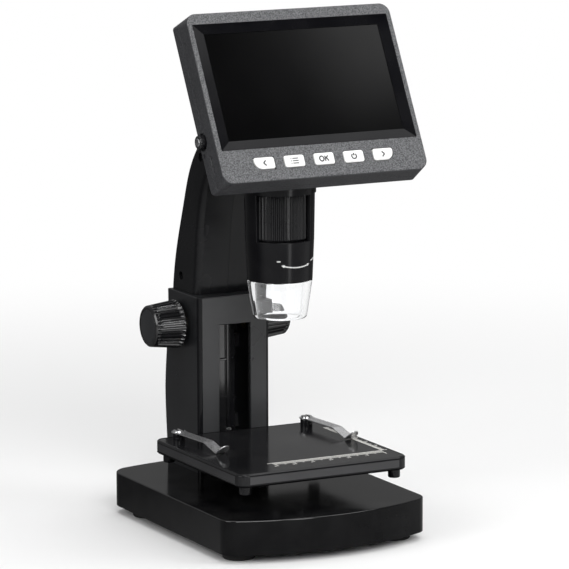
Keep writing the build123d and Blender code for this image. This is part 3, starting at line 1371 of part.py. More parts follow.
# The rear half of the case, with the two hinge ears, board posts and case screw holes.
with BuildPart() as rear_cover:
    with BuildSketch(screen_plane(BODY_SEAM)):
        body_outline(0, BODY_SEAM_R)
    with BuildSketch(screen_plane(BODY_REAR)):
        body_outline(0, BODY_REAR_R)
    loft()
    chamfer(faces().sort_by(Axis((0, 0, 0), screen_plane(0).z_dir))[0].edges(), REAR_EDGE)
    with BuildSketch(screen_plane(BODY_SEAM)):
        body_outline(BODY_WALL, BODY_SEAM_R)
    extrude(amount=MONITOR_FLOOR - BODY_SEAM, mode=Mode.SUBTRACT)
    with BuildSketch(screen_plane(MONITOR_FLOOR)):
        with Locations(*BOARD_POSTS):
            Circle(BOARD_POST_R)
    extrude(amount=MAIN_BOARD_TOP - MAIN_BOARD_THICK - MONITOR_FLOOR)
    with BuildSketch(screen_plane(MONITOR_FLOOR)):
        with Locations(*CASE_SCREWS):
            Circle(CASE_POST_R)
    extrude(amount=BODY_SEAM - MONITOR_FLOOR)
    with BuildSketch(screen_plane(BODY_REAR)):
        with Locations(*CASE_SCREWS):
            Circle(SMALL_SCREW_R + SEAT)
    extrude(amount=BODY_SEAM - BODY_REAR, mode=Mode.SUBTRACT)
    with BuildSketch(screen_plane(BODY_REAR)):
        with Locations(*CASE_SCREWS):
            Circle(SMALL_HEAD_R + SEAT)
    extrude(amount=SMALL_HEAD, mode=Mode.SUBTRACT)
    with BuildSketch(screen_plane(MAIN_BOARD_TOP)):
        with Locations(*BOARD_POSTS):
            Circle(SMALL_SCREW_R + SEAT)
    extrude(amount=-MAIN_BOARD_THICK - 2 * BODY_WALL, mode=Mode.SUBTRACT)
    for side in (-1, 1):
        with BuildSketch(screen_side_plane(side * (HINGE_HALF + HINGE_SIDE))):
            with Locations((HINGE_U, HINGE_N)):
                Circle(HINGE_R)
                Rectangle(
                    2 * HINGE_R, HINGE_R + BODY_WALL, align=(Align.CENTER, Align.MIN)
                )
            with Locations((HINGE_U, HINGE_N)):
                Circle(PIN_R + RUN, mode=Mode.SUBTRACT)
        extrude(amount=side * EAR_WIDE)
    with BuildSketch(screen_side_plane(-BODY_HALF)):
        with Locations((DIAL_U, DIAL_N)):
            Circle(DIAL_RECESS_R)
        with Locations((JACK_U, JACK_N)):
            Circle(JACK_R)
    extrude(amount=DIAL_RECESS, mode=Mode.SUBTRACT)
    with BuildSketch(screen_side_plane(-BODY_HALF)):
        with Locations((DIAL_U, DIAL_N)):
            Circle(DIAL_STEM_R + GAP)
    extrude(amount=BODY_WALL, mode=Mode.SUBTRACT)

rear_cover.part.label = "rear_cover"
export_step(rear_cover.part, "parts/rear_cover.step")

with BuildPart() as main_board:
    with BuildSketch(screen_plane(MAIN_BOARD_TOP)):
        with Locations((0, (MAIN_BOARD_U[0] + MAIN_BOARD_U[1]) / 2)):
            Rectangle(2 * MAIN_BOARD_HALF, MAIN_BOARD_U[1] - MAIN_BOARD_U[0])
        with Locations(*BOARD_POSTS):
            Circle(SMALL_SCREW_R + SEAT, mode=Mode.SUBTRACT)
    extrude(amount=-MAIN_BOARD_THICK)

main_board.part.label = "main_board"
export_step(main_board.part, "parts/main_board.step")

with BuildPart() as key_board:
    with BuildSketch(screen_plane(KEY_BOARD_TOP)):
        with Locations((0, KEY_U)):
            Rectangle(2 * KEY_BOARD_HALF, KEY_HIGH + 4.0)
    extrude(amount=-BOARD_THICK)
    with BuildSketch(screen_plane(KEY_BOARD_TOP)):
        for number in range(len(KEYS)):
            with Locations(((number - 2) * KEY_STEP, KEY_U)):
                Rectangle(KEY_HIGH, KEY_HIGH - 1.0)
    extrude(amount=KEY_FLANGE)

key_board.part.label = "key_board"
export_step(key_board.part, "parts/key_board.step")

with BuildPart() as battery:
    with BuildSketch(screen_plane(MONITOR_FLOOR)):
        with Locations((0, BATTERY_U)):
            RectangleRounded(*BATTERY, COL_R)
    extrude(amount=MAIN_BOARD_TOP - MAIN_BOARD_THICK - MONITOR_FLOOR - GAP)

battery.part.label = "battery"
export_step(battery.part, "parts/battery.step")

# Card socket behind its slot in the left wall, its bent metal shell open towards the slot.
with BuildPart() as card_socket:
    with BuildSketch(screen_side_plane(-BODY_HALF + BODY_WALL + RUN)):
        with Locations(((SLOT_U[0] + SLOT_U[1]) / 2 + SOCKET_OVER - USB_SHELL, MAIN_BOARD_TOP)):
            Rectangle(
                SLOT_U[1] - SLOT_U[0] + 2 * SOCKET_OVER,
                2 * (SLOT_N - MAIN_BOARD_TOP),
                align=(Align.CENTER, Align.MIN),
            )
    extrude(amount=SOCKET_LONG)
    with BuildSketch(screen_side_plane(-BODY_HALF + BODY_WALL + RUN)):
        with Locations(((SLOT_U[0] + SLOT_U[1]) / 2, SLOT_N)):
            Rectangle(SLOT_U[1] - SLOT_U[0], SLOT_WIDE)
    extrude(amount=SOCKET_MOUTH, mode=Mode.SUBTRACT)

card_socket.part.label = "card_socket"
export_step(card_socket.part, "parts/card_socket.step")

with BuildPart() as usb_socket:
    with BuildSketch(screen_side_plane(BODY_HALF - BODY_WALL - RUN)):
        with Locations((USB_U, MAIN_BOARD_TOP)):
            Rectangle(USB_WIDE, 2 * (SLOT_N - MAIN_BOARD_TOP), align=(Align.CENTER, Align.MIN))
    extrude(amount=-USB_LONG)
    with BuildSketch(screen_side_plane(BODY_HALF - BODY_WALL - RUN)):
        with Locations((USB_U, SLOT_N)):
            Rectangle(USB_WIDE - 2 * USB_SHELL, USB_HIGH - 2 * USB_SHELL)
    extrude(amount=-USB_MOUTH, mode=Mode.SUBTRACT)

usb_socket.part.label = "usb_socket"
export_step(usb_socket.part, "parts/usb_socket.step")

# The brightness dial and the small control behind it that its stem turns in.
POT_SIDE = -BODY_HALF + BODY_WALL + RUN
with BuildPart() as dimmer_pot:
    with BuildSketch(screen_side_plane(POT_SIDE)):
        with Locations((DIAL_U, MONITOR_FLOOR)):
            Rectangle(
                2 * DIAL_RECESS_R,
                2 * (DIAL_N - MONITOR_FLOOR),
                align=(Align.CENTER, Align.MIN),
            )
        with Locations((DIAL_U, DIAL_N)):
            Circle(DIAL_STEM_R + RUN, mode=Mode.SUBTRACT)
    extrude(amount=POT_LONG)

dimmer_pot.part.label = "dimmer_pot"
export_step(dimmer_pot.part, "parts/dimmer_pot.step")

with BuildPart() as dimmer_knob:
    dial_in = -BODY_HALF + DIAL_RECESS - RUN * 2
    dial_out = -BODY_HALF - DIAL_PROUD
    with BuildSketch(screen_side_plane(dial_in)):
        with Locations((DIAL_U, DIAL_N)):
            Circle(DIAL_R)
    extrude(amount=dial_out - dial_in)
    chamfer(faces().sort_by(Axis.X)[0].edges(), BODY_EDGE / 2)
    with BuildSketch(screen_side_plane(dial_out)):
        with Locations((DIAL_U, DIAL_N + DIAL_R * 0.6)):
            Rectangle(0.6, DIAL_R)
    extrude(amount=0.4, mode=Mode.SUBTRACT)
    with BuildSketch(screen_side_plane(dial_in)):
        with Locations((DIAL_U, DIAL_N)):
            Circle(DIAL_STEM_R)
    extrude(amount=BODY_WALL + 3.0)

dimmer_knob.part.label = "dimmer_knob"
export_step(dimmer_knob.part, "parts/dimmer_knob.step")

with BuildPart() as monitor_screws:
    with BuildSketch(screen_plane(BODY_REAR + SMALL_HEAD)):
        with Locations(*CASE_SCREWS):
            Circle(SMALL_HEAD_R)
    extrude(amount=-SMALL_HEAD)
    with BuildSketch(screen_plane(BODY_REAR + SMALL_HEAD)):
        with Locations(*CASE_SCREWS):
            Circle(SMALL_SCREW_R)
    extrude(amount=BODY_SEAM - BODY_REAR + BODY_WALL)
    with BuildSketch(screen_plane(MAIN_BOARD_TOP)):
        with Locations(*BOARD_POSTS):
            Circle(SMALL_HEAD_R)
    extrude(amount=SMALL_HEAD)
    with BuildSketch(screen_plane(MAIN_BOARD_TOP)):
        with Locations(*BOARD_POSTS):
            Circle(SMALL_SCREW_R)
    extrude(amount=-MAIN_BOARD_THICK - 2 * BODY_WALL + 1.0)

monitor_screws.part.label = "monitor_screws"
export_step(monitor_screws.part, "parts/monitor_screws.step")

with BuildPart() as hinge_bracket:
    with BuildSketch(screen_plane(MONITOR_FLOOR)):
        with Locations((0, HINGE_U + HINGE_PLATE_U)):
            RectangleRounded(*HINGE_PLATE, COL_R)
    extrude(amount=BOARD_THICK)

hinge_bracket.part.label = "hinge_bracket"
export_step(hinge_bracket.part, "parts/hinge_bracket.step")

with BuildPart() as hinge_pin:
    with BuildSketch(screen_side_plane(0)):
        with Locations((HINGE_U, HINGE_N)):
            Circle(PIN_R)
    extrude(amount=HINGE_HALF + HINGE_SIDE + EAR_WIDE, both=True)
    chamfer(edges().filter_by(GeomType.CIRCLE), PIN_R / 4)

hinge_pin.part.label = "hinge_pin"
export_step(hinge_pin.part, "parts/hinge_pin.step")

# Key caps: a face that stands a little proud and a flange that can't come out.
for number, name in enumerate(KEYS):
    x = (number - 2) * KEY_STEP
    flange_top = FACE_BACK - RUN * 2
    with BuildPart() as key:
        with BuildSketch(screen_plane(flange_top)):
            key_outline(number, 0)
        extrude(amount=BODY_FRONT + KEY_PROUD - flange_top)
        chamfer(faces().sort_by(Axis((0, 0, 0), screen_plane(0).z_dir))[-1].edges(), KEY_PROUD / 2)
        with BuildSketch(screen_plane(flange_top)):
            with Locations((x, KEY_U)):
                Rectangle(KEY_WIDE + 2 * KEY_FLANGE_OVER, KEY_HIGH + 2 * KEY_FLANGE_OVER)
        extrude(amount=-KEY_FLANGE)
    key.part.label = name
    export_step(key.part, f"parts/{name}.step")
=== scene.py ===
import json
import math

import bmesh
import bpy
import numpy as np
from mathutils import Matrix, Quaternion, Vector


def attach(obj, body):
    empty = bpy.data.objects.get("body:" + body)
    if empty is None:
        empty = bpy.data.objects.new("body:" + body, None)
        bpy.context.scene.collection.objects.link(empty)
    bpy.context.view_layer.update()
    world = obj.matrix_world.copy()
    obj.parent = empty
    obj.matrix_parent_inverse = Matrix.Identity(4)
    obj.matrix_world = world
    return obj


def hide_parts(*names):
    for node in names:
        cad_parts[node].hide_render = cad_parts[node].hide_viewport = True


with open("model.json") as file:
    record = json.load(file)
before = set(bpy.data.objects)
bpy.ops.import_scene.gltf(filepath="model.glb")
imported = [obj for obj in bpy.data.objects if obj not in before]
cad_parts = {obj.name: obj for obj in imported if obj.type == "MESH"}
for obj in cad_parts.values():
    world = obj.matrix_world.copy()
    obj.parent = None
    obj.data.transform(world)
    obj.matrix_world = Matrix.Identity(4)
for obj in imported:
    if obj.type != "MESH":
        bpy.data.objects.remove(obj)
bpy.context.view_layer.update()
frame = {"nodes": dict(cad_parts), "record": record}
MM = 0.001

# ================================================================== camera
# A long lens from the front left, a little above the screen.
CAMERA_AT = (-0.888754, -1.715073, 0.462530)
CAMERA_LOOKS = (0.457007, 0.872392, -0.173428)
CAMERA_ROLL = math.radians(-0.18)
LENS_MM = 250.8
SENSOR_MM = 36.0

camera_data = bpy.data.cameras.new("camera")
camera_data.sensor_width = SENSOR_MM
camera_data.lens = LENS_MM
camera_data.clip_start = 0.05
camera_data.clip_end = 50.0
camera = bpy.data.objects.new("camera", camera_data)
bpy.context.scene.collection.objects.link(camera)
camera.location = CAMERA_AT
camera.rotation_mode = "QUATERNION"
camera.rotation_quaternion = Vector(CAMERA_LOOKS).to_track_quat("-Z", "Y") @ Quaternion(
    (0, 0, 1), CAMERA_ROLL
)
bpy.context.scene.camera = camera

# ================================================================== studio
# A pale floor fades into a white surround. A tall narrow lamp stands in front and four wide
# ones around; a small one gives the screen its soft gleam.
bpy.context.scene.view_settings.view_transform = "Standard"
FLOOR_REACH = 8.0
FLOOR_COLOUR = 0.86
FLOOR_DIM = 0.10
FLOOR_IN_GLOSS = (0.85, 0.12)
GLOSS_FADE = (-0.15, 0.10)
FLOOR_FADE = (0.22, 0.75)
ROOM_FADE = (-0.6, 0.4)
ROOM_STRENGTH = (0.05, 0.26)
# Each lamp: name, place, aim, size, watts, and whether gloss and glass show it.
LAMPS = (
    ("strip_lamp", (0.05, -0.45, 0.31), (0.0, 0.0, 0.31), (0.07, 0.60), 0.70, True),
    ("left_lamp", (-1.50, -0.30, 0.80), (0.0, 0.0, 0.12), (1.00, 1.00), 11.0, True),
    ("front_lamp", (-0.50, -1.75, 1.10), (0.0, 0.0, 0.13), (1.00, 1.00), 24.0, True),
    ("screen_lamp", (0.548, -0.437, 1.017), (0.092, 0.183, 0.378), (0.30, 0.40), 0.65, True),
    ("right_lamp", (1.30, -0.90, 0.90), (0.0, 0.0, 0.12), (0.80, 0.80), 7.0, False),
    ("top_lamp", (0.35, 0.15, 1.60), (0.35, 0.15, 0.10), (1.70, 1.20), 15.0, True),
)


def new_object(name, mesh):
    """An object in the scene for a mesh whose points are already in the part's frame."""
    piece = bpy.data.objects.new(name, mesh)
    bpy.context.scene.collection.objects.link(piece)
    return piece


def new_material(name):
    """A node material: the material, its nodes, its links and its Principled BSDF."""
    material = bpy.data.materials.new(name)
    material.use_nodes = True
    tree = material.node_tree
    return material, tree.nodes, tree.links, tree.nodes["Principled BSDF"]


def set_up(node, **values):
    """Set a node's own settings (lower-case names) and its inputs (underscores for spaces)."""
    for label, value in values.items():
        if label.islower():
            setattr(node, label, value)
        else:
            node.inputs[label.replace("_", " ")].default_value = value
    return node


def add_node(nodes, kind, **values):
    """A new shader node of a kind, set up with its values; its settings come first."""
    return set_up(nodes.new("ShaderNode" + kind), **values)


def map_range(nodes, given, wanted=(0.0, 1.0), **settings):
    """A node that carries one range of values over to another."""
    return add_node(
        nodes,
        "MapRange",
        From_Min=given[0],
        From_Max=given[1],
        To_Min=wanted[0],
        To_Max=wanted[1],
        **settings,
    )


def connect(links, *runs):
    """Links between nodes, each given as from node, its output, to node, its input."""
    for source, output, target, entry in runs:
        links.new(source.outputs[output], target.inputs[entry])


def brightest(nodes, links, *values):
    """The largest of several values, as one output."""
    highest = values[0]
    for value in values[1:]:
        larger = add_node(nodes, "Math", operation="MAXIMUM")
        links.new(highest, larger.inputs[0])
        links.new(value, larger.inputs[1])
        highest = larger.outputs["Value"]
    return highest


floor_mesh = bpy.data.meshes.new("floor")
corners = [(x * FLOOR_REACH, y * FLOOR_REACH, 0) for x, y in ((-1, -1), (1, -1), (1, 1), (-1, 1))]
floor_mesh.from_pydata(corners, [], [(0, 1, 2, 3)])
floor = new_object("floor", floor_mesh)
floor_finish, nodes, links, shader = new_material("pale_floor")
set_up(shader, Roughness=0.95, Specular_IOR_Level=0.1)
# Seen straight or through glass the floor is pale; in gloss it is pale in front of the object
# and dim behind it, and it sends little light up to the underside.
ray = add_node(nodes, "LightPath")
where = add_node(nodes, "TexCoord")
depth = add_node(nodes, "SeparateXYZ")
seen = brightest(nodes, links, ray.outputs["Is Camera Ray"], ray.outputs["Is Transmission Ray"])
straight_tone = map_range(nodes, (0.0, 1.0), (FLOOR_DIM, FLOOR_COLOUR))
gloss_tone = map_range(nodes, GLOSS_FADE, FLOOR_IN_GLOSS)
in_gloss = add_node(nodes, "Math", operation="MULTIPLY")
connect(
    links,
    (where, "Object", depth, "Vector"),
    (depth, "Y", gloss_tone, "Value"),
    (gloss_tone, "Result", in_gloss, 0),
    (ray, "Is Glossy Ray", in_gloss, 1),
)
links.new(seen, straight_tone.inputs["Value"])
tone = brightest(nodes, links, straight_tone.outputs["Result"], in_gloss.outputs["Value"])
links.new(tone, shader.inputs["Base Color"])
# Away from the object the floor turns to the plain white of the surround.
distance = add_node(nodes, "VectorMath", operation="LENGTH")
away = map_range(nodes, FLOOR_FADE, interpolation_type="SMOOTHSTEP")
white = add_node(nodes, "Emission")
faded = add_node(nodes, "Math", operation="MULTIPLY")
blend = add_node(nodes, "MixShader")
connect(
    links,
    (where, "Object", distance, 0),
    (distance, "Value", away, "Value"),
    (away, "Result", faded, 0),
    (faded, "Value", blend, "Fac"),
    (shader, "BSDF", blend, 1),
    (white, "Emission", blend, 2),
    (blend, "Shader", nodes["Material Output"], "Surface"),
)
links.new(seen, faded.inputs[1])
floor.data.materials.append(floor_finish)

# The room is white where it is seen; in gloss it is dim in front and brighter behind.
world = bpy.data.worlds.new("studio")
bpy.context.scene.world = world
world.use_nodes = True
nodes, links = world.node_tree.nodes, world.node_tree.links
sky = nodes["Background"]
ray = add_node(nodes, "LightPath")
facing = add_node(nodes, "TexCoord")
along = add_node(nodes, "SeparateXYZ")
room = map_range(nodes, ROOM_FADE, ROOM_STRENGTH)
connect(links, (facing, "Generated", along, "Vector"), (along, "Y", room, "Value"))
ways = [room.outputs["Result"], ray.outputs["Is Camera Ray"], ray.outputs["Is Transmission Ray"]]
links.new(brightest(nodes, links, *ways), sky.inputs["Strength"])
sky.inputs["Color"].default_value = (1, 1, 1, 1)

for name, place, aim, (wide, high), power, mirrored in LAMPS:
    lamp_data = bpy.data.lights.new(name, "AREA")
    lamp_data.shape = "RECTANGLE"
    lamp_data.size = wide
    lamp_data.size_y = high
    lamp_data.energy = power
    lamp = new_object(name, lamp_data)
    lamp.visible_glossy = mirrored
    lamp.visible_transmission = mirrored
    lamp.location = place
    lamp.rotation_mode = "QUATERNION"
    lamp.rotation_quaternion = (Vector(aim) - Vector(place)).to_track_quat("-Z", "Y")

# ================================================================== moulded foot
# The foot is a glossy black moulding, open below and closed by a plate held by four screws;
# a steel weight sits inside and four rubber pads stand under it.
BODY_OF = {
    node: body
    for body, members in frame["record"]["behaviour"]["bodies"].items()
    for node in members
}
SMOOTH_TURN = math.radians(38)
ROUND_TURN = math.radians(40)
FLAT_TURN = math.radians(0.6)


def finished_mesh(mesh, turn=SMOOTH_TURN):
    """Smooth shading, with every edge that turns by more than `turn` kept sharp."""
    mesh.polygons.foreach_set("use_smooth", np.ones(len(mesh.polygons), dtype=bool))
    mesh.set_sharp_from_angle(angle=turn)
    return mesh


def stands_for(piece, *nodes):
    """Ride and replacement of a piece that takes the place of CAD nodes."""
    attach(piece, BODY_OF[nodes[0]])
    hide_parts(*nodes)
    return piece


def evenly_shaded(piece):
    """Normals that follow the large faces, so that flat walls stay flat beside a rounded edge."""
    shading = piece.modifiers.new("even", "WEIGHTED_NORMAL")
    shading.weight = 100
    shading.keep_sharp = True


def round_edges(form, chosen, width, steps):
    """Round the sharp outward edges whose two ends `chosen` picks by their millimetre places."""
    places = np.array([point.co for point in form.verts]) / MM
    form.verts.index_update()
    picked = chosen(places)
    edges = [
        edge
        for edge in form.edges
        if picked[edge.verts[0].index]
        and picked[edge.verts[1].index]
        and edge.is_convex
        and edge.calc_face_angle(0) > ROUND_TURN
    ]
    bmesh.ops.bevel(
        form,
        geom=edges,
        offset=width * MM,
        segments=steps,
        profile=0.5,
        affect="EDGES",
        miter_outer="ARC",
        clamp_overlap=False,
    )


def eased(node, finish, width=0.12, steps=2, turn=SMOOTH_TURN, first=(), clamp=True):
    """A CAD node's shape with its doubles merged and its sharp edges rounded by `width` in
    millimetres. `first` rounds chosen edges before: (which, width, steps) for each choice."""
    mesh = frame["nodes"][node].data.copy()
    mesh.materials.clear()
    form = bmesh.new()
    form.from_mesh(mesh)
    bmesh.ops.remove_doubles(form, verts=form.verts, dist=2e-6)
    bmesh.ops.dissolve_limit(form, angle_limit=FLAT_TURN, verts=form.verts, edges=form.edges)
    for chosen, wide, rounds in first:
        round_edges(form, chosen, wide, rounds)
    form.to_mesh(mesh)
    form.free()
    rough_piece = new_object(node + "_rough", mesh)
    bevel = rough_piece.modifiers.new("round", "BEVEL")
    bevel.width = width * MM
    bevel.segments = steps
    bevel.limit_method = "ANGLE"
    bevel.angle_limit = ROUND_TURN
    bevel.use_clamp_overlap = clamp
    bevel.miter_outer = "MITER_ARC"
    bpy.context.view_layer.update()
    whole = rough_piece.evaluated_get(bpy.context.evaluated_depsgraph_get())
    rounded = bpy.data.meshes.new_from_object(whole)
    bpy.data.objects.remove(rough_piece)
    piece = new_object(node + "_dressed", finished_mesh(rounded, turn))
    evenly_shaded(piece)
    piece.data.materials.append(finish)
    return stands_for(piece, node)


def of_faces(piece, what):
    """The normal or the centre of each face of a piece, as rows of three numbers."""
    values = np.empty(3 * len(piece.data.polygons))
    piece.data.polygons.foreach_get(what, values)
    return values.reshape(-1, 3)


def refinish(piece, finish, picked):
    """A further finish on the picked faces of a piece."""
    piece.data.materials.append(finish)
    finishes = np.empty(len(picked), dtype=np.int32)
    piece.data.polygons.foreach_get("material_index", finishes)
    finishes[picked] = len(piece.data.materials) - 1
    piece.data.polygons.foreach_set("material_index", finishes)


def shader_group(name, inputs, outputs):
    """An empty shader node group with named inputs (name, value) and float outputs."""
    group = bpy.data.node_groups.new(name, "ShaderNodeTree")
    for label, value in inputs:
        socket = group.interface.new_socket(label, in_out="INPUT", socket_type="NodeSocketFloat")
        socket.default_value = value
    for label in outputs:
        group.interface.new_socket(label, in_out="OUTPUT", socket_type="NodeSocketFloat")
    return group, group.nodes.new("NodeGroupInput"), group.nodes.new("NodeGroupOutput")


# Moulded grain: the fine sparked texture of a mould, as a height and a light-dark mottle.
moulded_grain, grain_in, grain_out = shader_group(
    "moulded_grain", (("Scale", 1500.0), ("Mottle Scale", 90.0)), ("Height", "Mottle")
)
nodes, links = moulded_grain.nodes, moulded_grain.links
where = add_node(nodes, "TexCoord")
fine = add_node(nodes, "TexNoise", Detail=3.0, Roughness=0.6)
broad = add_node(nodes, "TexNoise", Detail=4.0)
connect(
    links,
    (where, "Object", fine, "Vector"),
    (where, "Object", broad, "Vector"),
    (grain_in, "Scale", fine, "Scale"),
    (grain_in, "Mottle Scale", broad, "Scale"),
    (fine, "Fac", grain_out, "Height"),
    (broad, "Fac", grain_out, "Mottle"),
)

# Dust: a thin film on faces that look up, broken by noise, with a few hair-fine specks.
dust_film, dust_in, dust_out = shader_group(
    "dust_film", (("Amount", 0.5), ("Speck Scale", 900.0)), ("Mask",)
)
nodes, links = dust_film.nodes, dust_film.links
where = add_node(nodes, "TexCoord")
upward = add_node(nodes, "SeparateXYZ")
surface = add_node(nodes, "NewGeometry")
cloud = add_node(nodes, "TexNoise", Scale=60.0, Detail=5.0)
speck = add_node(nodes, "TexVoronoi")
speck_mask = map_range(nodes, (0.10, 0.04))
cloud_mask = map_range(nodes, (0.45, 0.80))
both = add_node(nodes, "Math", operation="MAXIMUM")
lying = add_node(nodes, "Math", operation="MULTIPLY", use_clamp=True)
share = add_node(nodes, "Math", operation="MULTIPLY")
connect(
    links,
    (surface, "Normal", upward, "Vector"),
    (where, "Object", cloud, "Vector"),
    (where, "Object", speck, "Vector"),
    (dust_in, "Speck Scale", speck, "Scale"),
    (speck, "Distance", speck_mask, "Value"),
    (cloud, "Fac", cloud_mask, "Value"),
    (speck_mask, "Result", both, 0),
    (cloud_mask, "Result", both, 1),
    (both, "Value", lying, 0),
    (upward, "Z", lying, 1),
    (lying, "Value", share, 0),
    (dust_in, "Amount", share, 1),
    (share, "Value", dust_out, "Mask"),
)
DUST_COLOUR = (0.42, 0.41, 0.39, 1)
GRAIN_SPREAD = (0.38, 0.62)
MOTTLE_SPREAD = (0.3, 0.7)
ROUGH_SHARES = (0.85, 1.2)


def moulded_finish(
    name, dark, light, rough, grain=1500, mottle=90, bump=0.02, specular=0.5, dust=0, speckle=False
):
    """Moulded plastic: colour from dark to light by the mottle (or by the grain, if speckled),
    grain in the normal, mottled roughness, and a film of dust on what looks up."""
    material, nodes, links, shader = new_material(name)
    set_up(shader, Specular_IOR_Level=specular)
    texture = add_node(
        nodes, "Group", node_tree=moulded_grain, Scale=grain, Mottle_Scale=mottle
    )
    tone = map_range(nodes, GRAIN_SPREAD)
    colour = add_node(nodes, "Mix", data_type="RGBA", A=(*dark, 1), B=(*light, 1))
    rough_range = (rough * ROUGH_SHARES[0], min(1.0, rough * ROUGH_SHARES[1]))
    spread = map_range(nodes, MOTTLE_SPREAD, rough_range)
    relief = add_node(nodes, "Bump", Strength=1.0, Distance=bump * MM)
    connect(
        links,
        (texture, "Height" if speckle else "Mottle", tone, "Value"),
        (tone, "Result", colour, "Factor"),
        (texture, "Mottle", spread, "Value"),
        (spread, "Result", shader, "Roughness"),
        (texture, "Height", relief, "Height"),
        (relief, "Normal", shader, "Normal"),
    )
    if dust:
        film = add_node(nodes, "Group", node_tree=dust_film, Amount=dust)
        dusty = add_node(nodes, "Mix", data_type="RGBA", B=DUST_COLOUR)
        connect(links, (film, "Mask", dusty, "Factor"), (colour, "Result", dusty, "A"))
        colour = dusty
    links.new(colour.outputs["Result"], shader.inputs["Base Color"])
    return material


FOOT_BLACK = (0.003, 0.003, 0.0035), (0.006, 0.006, 0.0065), 0.13
foot_gloss = moulded_finish("foot_gloss", *FOOT_BLACK, bump=0.002, specular=0.1, dust=0.02)
foot_edge = moulded_finish("foot_edge", *FOOT_BLACK, bump=0.002, specular=0.6, dust=0.02)
foot_under = moulded_finish("foot_under", (0.012, 0.012, 0.013), (0.02, 0.02, 0.021), 0.55)
pad_rubber = moulded_finish(
    "pad_rubber", (0.012, 0.012, 0.012), (0.03, 0.03, 0.03), 0.85, bump=0.05
)
FOOT_TOP = 21.4
FOOT_RIM = 0.8
ROUND_FACES = (0.1, 0.98)
COLUMN_CLEAR = (22.0, 33.0)
NEAR = 0.01


def foot_rim(places):
    """The outline of the foot's top, clear of where the column stands."""
    outside = (np.abs(places[:, 0]) > COLUMN_CLEAR[0]) | (places[:, 1] < COLUMN_CLEAR[1])
    return (places[:, 2] > FOOT_TOP - NEAR) & outside


foot = eased("base_shell", foot_gloss, 0.3, 3, first=((foot_rim, FOOT_RIM, 4),))
upward = of_faces(foot, "normal")[:, 2]
high = of_faces(foot, "center")[:, 2] > (FOOT_TOP - FOOT_RIM - 0.2) * MM
refinish(foot, foot_edge, high & (upward > ROUND_FACES[0]) & (upward < ROUND_FACES[1]))
eased("base_bottom_cover", foot_under, 0.2, 3)
eased("base_feet", pad_rubber, 0.3, 3)

# ================================================================== column
# The column is one satin black moulding that stands on the foot, held from below by screws;
# a bulged panel closes its back and two brass bushes carry the knob shaft.
column_satin = moulded_finish(
    "column_satin", (0.010, 0.0105, 0.012), (0.015, 0.0155, 0.017), 0.30, 2400, 30, 0.003
)
panel_satin = moulded_finish(
    "panel_satin", (0.014, 0.0145, 0.016), (0.020, 0.0205, 0.022), 0.42, 1500, 30, 0.012
)


def metal_finish(name, dark, light, rough, along=(1, 1, 1), scratch=400, bump=0.002):
    """Metal: colour and roughness vary with long scratches, drawn out along one axis."""
    material, nodes, links, shader = new_material(name)
    set_up(shader, Metallic=1.0)
    where = add_node(nodes, "TexCoord")
    drawn = add_node(nodes, "Mapping", Scale=along)
    marks = add_node(nodes, "TexNoise", Scale=scratch, Detail=5.0, Roughness=0.7)
    tone = add_node(nodes, "Mix", data_type="RGBA", A=(*dark, 1), B=(*light, 1))
    dull = map_range(nodes, MOTTLE_SPREAD, (rough * 0.6, rough * 1.5))
    relief = add_node(nodes, "Bump", Strength=1.0, Distance=bump * MM)
    connect(
        links,
        (where, "Object", drawn, "Vector"),
        (drawn, "Vector", marks, "Vector"),
        (marks, "Fac", tone, "Factor"),
        (tone, "Result", shader, "Base Color"),
        (marks, "Fac", dull, "Value"),
        (dull, "Result", shader, "Roughness"),
        (marks, "Fac", relief, "Height"),
        (relief, "Normal", shader, "Normal"),
    )
    return material


turned_brass = metal_finish("turned_brass", (0.50, 0.33, 0.13), (0.78, 0.57, 0.27), 0.24, (1, 6, 6))
screw_black = metal_finish("screw_black", (0.05, 0.05, 0.055), (0.11, 0.11, 0.115), 0.32)
screw_steel = metal_finish("screw_steel", (0.42, 0.42, 0.43), (0.68, 0.68, 0.69), 0.26)
# Painted light: a lighter copy of the column's satin for the faces that look straight ahead,
# painted as if lit from the front.
column_front_lit = moulded_finish(
    "column_front_lit", (0.030, 0.0305, 0.032), (0.038, 0.0385, 0.040), 0.30, 2400, 30, 0.003, 0.4
)
# Painted shade: a darker copy of the satin for the rounded front corners, painted as a dark band
# down each corner.
column_corner_shaded = moulded_finish(
    "column_corner_shaded", (0.004, 0.004, 0.005), (0.007, 0.007, 0.008), 0.13, 2400, 30, 0.002, 0.15
)
COLUMN_TOP = 111.4
COLUMN_REAR = 70.9
CORNER_FROM = 17.61
CORNER_BACK = 38.4
SLOT_SIDE = 8.76
KEEL_BACK = 35.46
FRONT_BACK = 35.96
FRONT_FACES = 0.99


def column_rims(places):
    """The outline of the column's top, and the edges of the slot in its front."""
    across, back, up = np.abs(places[:, 0]), places[:, 1], places[:, 2]
    outline = (across > CORNER_FROM) | (back < FRONT_BACK) | (back > COLUMN_REAR)
    slot = (across < SLOT_SIDE) & (back < KEEL_BACK)
    return (up > COLUMN_TOP - NEAR) & outline | slot


column = eased("column_shell", column_satin, 0.3, 3, first=((column_rims, 0.45, 3),))
# The faces that look straight ahead, which take the painted-light copy of the satin.
ahead = of_faces(column, "normal")[:, 1] < -FRONT_FACES
middle = of_faces(column, "center") / MM
# The rounded front corners, which take the painted-shade copy of the satin.
corner = (np.abs(middle[:, 0]) > CORNER_FROM) & (middle[:, 1] < CORNER_BACK) & ~ahead
refinish(column, column_front_lit, ahead)
refinish(column, column_corner_shaded, corner)
eased("column_back_cover", panel_satin, 0.2, 3)
eased("shaft_bushes", turned_brass, 0.12, 3)


